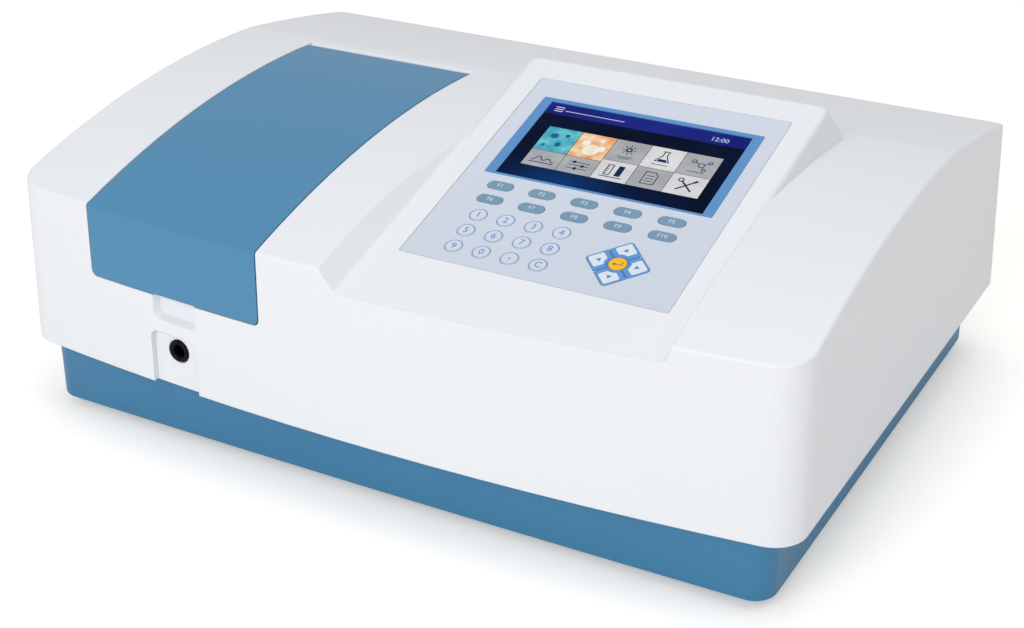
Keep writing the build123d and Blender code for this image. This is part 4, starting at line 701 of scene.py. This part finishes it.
RETURN_MARK = [(3.1, 2.2), (3.1, -0.9), (-1.6, -0.9)]
mark = stroke(RETURN_MARK, 0.7) + [disc(RETURN_RADIUS, -2.1, -0.9, 3, INK, 90)]
lay_on_deck(mark, "print_key_enter", PAD_U, PAD_V, KEY_TOP, ink_slate, "key_enter")
print("arrow pad printed")

# %% [markdown]
# The two data sockets on the back are metal shells that stand a millimetre out of their
# leaning panel. Each gets a flat black tile of painted shade for its open mouth, with a pale
# tongue in it, laid on its face.

# %% Painted shade in the mouths of the data sockets
REAR_LEAN = math.radians(6.0)
REAR_UP = Vector((0.0, -math.sin(REAR_LEAN), math.cos(REAR_LEAN)))
REAR_ORIGIN = Vector((0.0, 0.2385, 0.0580))
REAR_MATRIX = plane_matrix(REAR_ORIGIN, Vector((-1.0, 0.0, 0.0)), REAR_UP)
SOCKET_X, SOCKET_RISE, SOCKET_OUT = (14.0, 50.0), 60.0, 1.0
MOUTH_WIDTH, MOUTH_HEIGHT, MOUTH_CORNER = 15.6, 6.4, 1.0
TONGUE_WIDTH, TONGUE_HEIGHT, TONGUE_RISE = 9.4, 1.7, 0.8
for index, x in enumerate(SOCKET_X):
    # The black tile is painted shade, standing for the dark hollow of the mouth.
    mouth_shade = inked(tile(MOUTH_WIDTH, MOUTH_HEIGHT, corner=MOUTH_CORNER), gloss_black)
    tongue = inked(tile(TONGUE_WIDTH, TONGUE_HEIGHT, 0, TONGUE_RISE), ink_pale, INK_STEP)
    place = (-x, SOCKET_RISE, SOCKET_OUT)
    lay_on(REAR_MATRIX, [mouth_shade, tongue], f"socket_mouth_shade_{index + 1}", place, None, HOUSING)
print("socket mouths", len(SOCKET_X))

# %% [markdown]
# The picture on the screen. It is a start page with a dark title band, a clock and ten
# fields. Two fields are mottled colour, one teal with drops and one amber with grains,
# and each of the others has a pictogram: a curve, sliders, a sun, a flask, a chain of
# atoms, a cuvette, a page and crossed tools. Flat lit shapes are stacked a few
# hundredths of a millimetre apart, well below the frame round the screen.

# %% Fields of the screen
SCREEN_N = -1.04
COLUMN_U = [39.1, 66.7, 94.5, 122.1, 149.6, 177.0]
TOP_V, SPLIT_V, BOTTOM_V = 213.0, 188.0, 165.2
MOTTLED_SPLIT_V = {0: 184.4, 1: 184.4}
FIELD_GAP = 0.45


def field_of(column, row):
    """Left, right, low and high limits of a field."""
    split = MOTTLED_SPLIT_V.get(column, SPLIT_V)
    low, high = (split, TOP_V) if row == 0 else (BOTTOM_V, split)
    gap = FIELD_GAP / 2
    return COLUMN_U[column] + gap, COLUMN_U[column + 1] - gap, low + gap, high - gap


def field_tile(column, row):
    """The flat tile of a field."""
    left, right, low, high = field_of(column, row)
    return tile(right - left, high - low, (left + right) / 2, (low + high) / 2)


def field_middle(column, row, du=0.0, dv=0.0):
    """A place near the middle of a field."""
    left, right, low, high = field_of(column, row)
    return (left + right) / 2 + du, (low + high) / 2 + dv


def lay_on_screen(pieces, name, finish, above=0.0):
    """Lays flat pieces on the screen, or a little above it."""
    lay_on_deck(pieces, name, 0, 0, SCREEN_N + above, finish, HOUSING)


TITLE_WIDTH, TITLE_HEIGHT, TITLE_U, TITLE_V = 160.4, 13.6, 107.2, 234.2
title_band = tile(TITLE_WIDTH, TITLE_HEIGHT, TITLE_U, TITLE_V)
lay_on_screen([title_band], "screen_title", lit_title)
FIELDS = {
    "grey_fields": (lit_grey, [(2, 0), (4, 0), (3, 1), (0, 1), (1, 1)]),
    "pale_fields": (lit_pale, [(3, 0), (2, 1), (4, 1)]),
    "teal_field": (lit_teal, [(0, 0)]),
    "amber_field": (lit_amber, [(1, 0)]),
}
for name, (finish, fields) in FIELDS.items():
    lay_on_screen([field_tile(*field) for field in fields], f"screen_{name}", finish)

DROPS = ((-4.5, 4.0, 3.2), (5.0, 6.5, 1.9), (2.0, -5.0, 2.6), (-8.5, -8.0, 1.5))
drops = [disc(r, *field_middle(0, 0, du, dv), 28) for du, dv, r in DROPS]
lay_on_screen(drops, "screen_teal_drops", lit_deep, INK)
GRAINS = ((0.5, -4.0, 6.4), (-6.0, 3.0, 3.0), (7.5, -1.0, 3.2), (5.0, 8.0, 2.0))
grains = [disc(r, *field_middle(1, 0, du, dv), 28) for du, dv, r in GRAINS]
lay_on_screen(grains, "screen_amber_grains", lit_cream, INK)
print("screen fields", sum(len(fields) for finish, fields in FIELDS.values()))

# %% [markdown]
# Every pictogram is a handful of bent lines, discs, rings and tiles about the middle of
# its field, in millimetres. The fields count from the left, with 0 for the upper row.

# %% Pictograms and the title line


def drawn(column, row, strokes, width=0.8):
    """Bent lines drawn about the middle of a field."""
    bars = []
    for points in strokes:
        bars += stroke([field_middle(column, row, du, dv) for du, dv in points], width)
    return bars


def hump(k, middle, spread, height):
    """The height of a bell curve at step k."""
    return height * math.exp(-(((k - middle) / spread) ** 2))


# A curve with two peaks, and sliders
wave = [(-9 + k * 1.5, hump(k, 3.6, 1.7, 5.2) + hump(k, 8.6, 1.5, 3.6) - 2.6) for k in range(13)]
marks = drawn(0, 1, [wave, [(-9.5, -4.6), (9.5, -4.6)]])
for level, knob in ((3.6, -4.0), (0.0, 3.5), (-3.6, -1.0)):
    marks += drawn(1, 1, [[(-8.0, level), (8.0, level)]], 0.6)
    marks.append(disc(1.4, *field_middle(1, 1, knob, level), 20))

# A sun over two lines
marks.append(ring(2.6, 1.3, *field_middle(2, 0, 0, 2.2), 24))
for k in range(8):
    ray = math.radians(45 * k)
    ends = [(reach * math.cos(ray), 2.2 + reach * math.sin(ray)) for reach in (3.6, 5.4)]
    marks += drawn(2, 0, [ends], 0.7)
marks += drawn(2, 0, [[(-6, -6.4), (6, -6.4)], [(-4, -8.2), (4, -8.2)]], 0.6)

# A flask, half full, over a line
FLASK = [(-1.6, 8), (-1.6, 3.2), (-5.4, -3.6), (5.4, -3.6), (1.6, 3.2), (1.6, 8)]
marks += drawn(3, 0, [FLASK, [(-2.6, 8), (2.6, 8)]], 0.8)
marks.append(tile(6.4, 2.4, *field_middle(3, 0, 0, -2.2)))
marks += drawn(3, 0, [[(-6, -7.4), (6, -7.4)]], 0.6)

# Four atoms on their bonds, over a line
for du, dv, radius in ((-5, 4, 2.0), (1.5, 0.5, 2.6), (7, 4.5, 1.7), (5, -4.5, 1.7)):
    marks.append(ring(radius, 0.7, *field_middle(4, 0, du, dv), 24))
BONDS = [[(-3.4, 3.1), (-0.6, 1.6)], [(3.6, 2.0), (5.7, 3.6)], [(2.8, -1.6), (4.1, -3.2)]]
marks += drawn(4, 0, BONDS, 0.6)
marks += drawn(4, 0, [[(-6, -7.6), (6, -7.6)]], 0.6)

# A cuvette with its marks, beside a block
CUVETTE = [(-6.5, 6.5), (-6.5, -5), (-2.2, -5), (-2.2, 6.5), (-6.5, 6.5)]
marks += drawn(2, 1, [CUVETTE, [(-8.5, -7), (8.5, -7)]], 0.8)
marks += drawn(2, 1, [[(-6, 4 - 2.4 * k), (-4.2, 4 - 2.4 * k)] for k in range(4)], 0.5)
marks.append(tile(4.6, 11.8, *field_middle(2, 1, 4.0, 0.8)))

# A page with lines
marks += drawn(3, 1, [[(-5, 7), (-5, -6.5), (5, -6.5), (5, 4), (2, 7), (-5, 7)]], 0.7)
marks += drawn(3, 1, [[(-3, 2.6 - 3 * k), (3, 2.6 - 3 * k)] for k in range(3)], 0.55)

# Crossed tools
marks += drawn(4, 1, [[(-5.5, -5.5), (5, 5)], [(5.5, -5.5), (-4.4, 4.4)]], 1.3)
marks.append(ring(2.3, 0.9, *field_middle(4, 1, -5.4, 5.4), 24))
marks.append(tile(3.4, 2.0, *field_middle(4, 1, 5.6, 5.6), 0.4, 2, INK, 45))
lay_on_screen(marks, "screen_pictograms", lit_navy, INK)

MENU_U, MENU_V, MENU_PITCH = 36.5, 236.6, 2.4
CLOCK_U, CLOCK_V, CLOCK_SIZE = 165.5, 232.8, 6.4
title_marks = stroke([(42, 233.2), (90, 233.2)], 0.7)
title_marks += [tile(7.0, 0.9, MENU_U, MENU_V - MENU_PITCH * k) for k in range(3)]
title_marks.append(sign("12:00", CLOCK_SIZE, CLOCK_U, CLOCK_V))
lay_on_screen(title_marks, "screen_title_marks", lit_line, INK)
print("pictograms", len(marks))

# %% [markdown]
# The scene around the part is a white floor that still takes the part's soft shadow. To
# the camera the floor glows a little, and the world behind it is brighter than the light
# that it gives to the part.

# %% Floor and world
FLOOR_GLOW = 0.30
FLOOR_SIDE = 14
FLOOR_GREY, FLOOR_PALE = (0.93, 0.912, 0.885, 1), (0.95, 0.932, 0.905, 1)
FLOOR_LIGHT = (1.0, 0.98, 0.95, 1)
WORLD_STRENGTH = 0.58
deselect()
bpy.ops.mesh.primitive_plane_add(size=FLOOR_SIDE, location=(0, 0, 0))
floor = bpy.context.object
floor.name = "studio_floor"
floor_finish = Finish("studio_floor", Roughness=0.9, Specular_IOR_Level=0.0)
floor_noise = floor_finish.noise(3.0, 2.0)
floor_colour = floor_finish.mix(floor_noise, FLOOR_GREY, FLOOR_PALE)
floor_finish.feed("Base Color", floor_colour)
glowing = {
    "Specular IOR Level": 0.0,
    "Emission Color": FLOOR_LIGHT,
    "Emission Strength": FLOOR_GLOW,
    "Base Color": floor_colour,
}
floor_seen = floor_finish.node("ShaderNodeBsdfPrincipled", {}, glowing)
floor_lit = Value(floor_finish, floor_finish.shader.outputs[0])
by_camera = floor_finish.node("ShaderNodeLightPath", output="Is Camera Ray")
floor_blend = floor_finish.node("ShaderNodeMixShader", {}, [by_camera, floor_lit, floor_seen])
floor_finish.show(floor_blend, "Material Output")
floor.data.materials.append(floor_finish.material)

world = bpy.data.worlds.new("studio")
bpy.context.scene.world = world
sky = Network(world)
background = sky.tree.nodes["Background"]
background.inputs["Color"].default_value = (1.0, 1.0, 1.0, 1)
background.inputs["Strength"].default_value = WORLD_STRENGTH
sky_lit = Value(sky, background.outputs[0])
sky_seen = sky.node("ShaderNodeBackground", {}, {"Strength": 1.0})
camera_ray = sky.node("ShaderNodeLightPath", output="Is Camera Ray")
clear_ray = camera_ray.beside("Is Transmission Ray")
either = camera_ray.math("MAXIMUM", camera_ray, clear_ray)
sky.show(sky.node("ShaderNodeMixShader", {}, [either, sky_lit, sky_seen]), "World Output")
print("floor", floor.name, "world", world.name)

# %% [markdown]
# Three square soft lamps look at the middle of the part. The front is lit most, the top a
# little less and the right side least.

# %% Lamps
LAMP_AIM = (0, 0, 0.1)


def lamp(name, place, size, power):
    """A square soft lamp that looks at the part."""
    data = bpy.data.lights.new(name, "AREA")
    data.shape = "SQUARE"
    data.size = size
    data.energy = power
    made = bpy.data.objects.new(name, data)
    bpy.context.scene.collection.objects.link(made)
    made.location = place
    made.rotation_mode = "QUATERNION"
    made.rotation_quaternion = (Vector(LAMP_AIM) - Vector(place)).to_track_quat("-Z", "Y")


lamp("front_soft", (-0.1, -2.75, 1.45), 1.8, 34.0)
lamp("top_soft", (0.1, 0.2, 2.6), 1.6, 11.5)
lamp("side_fill", (1.9, -0.3, 2.0), 1.6, 4.0)
print("lamps", len(bpy.data.lights))
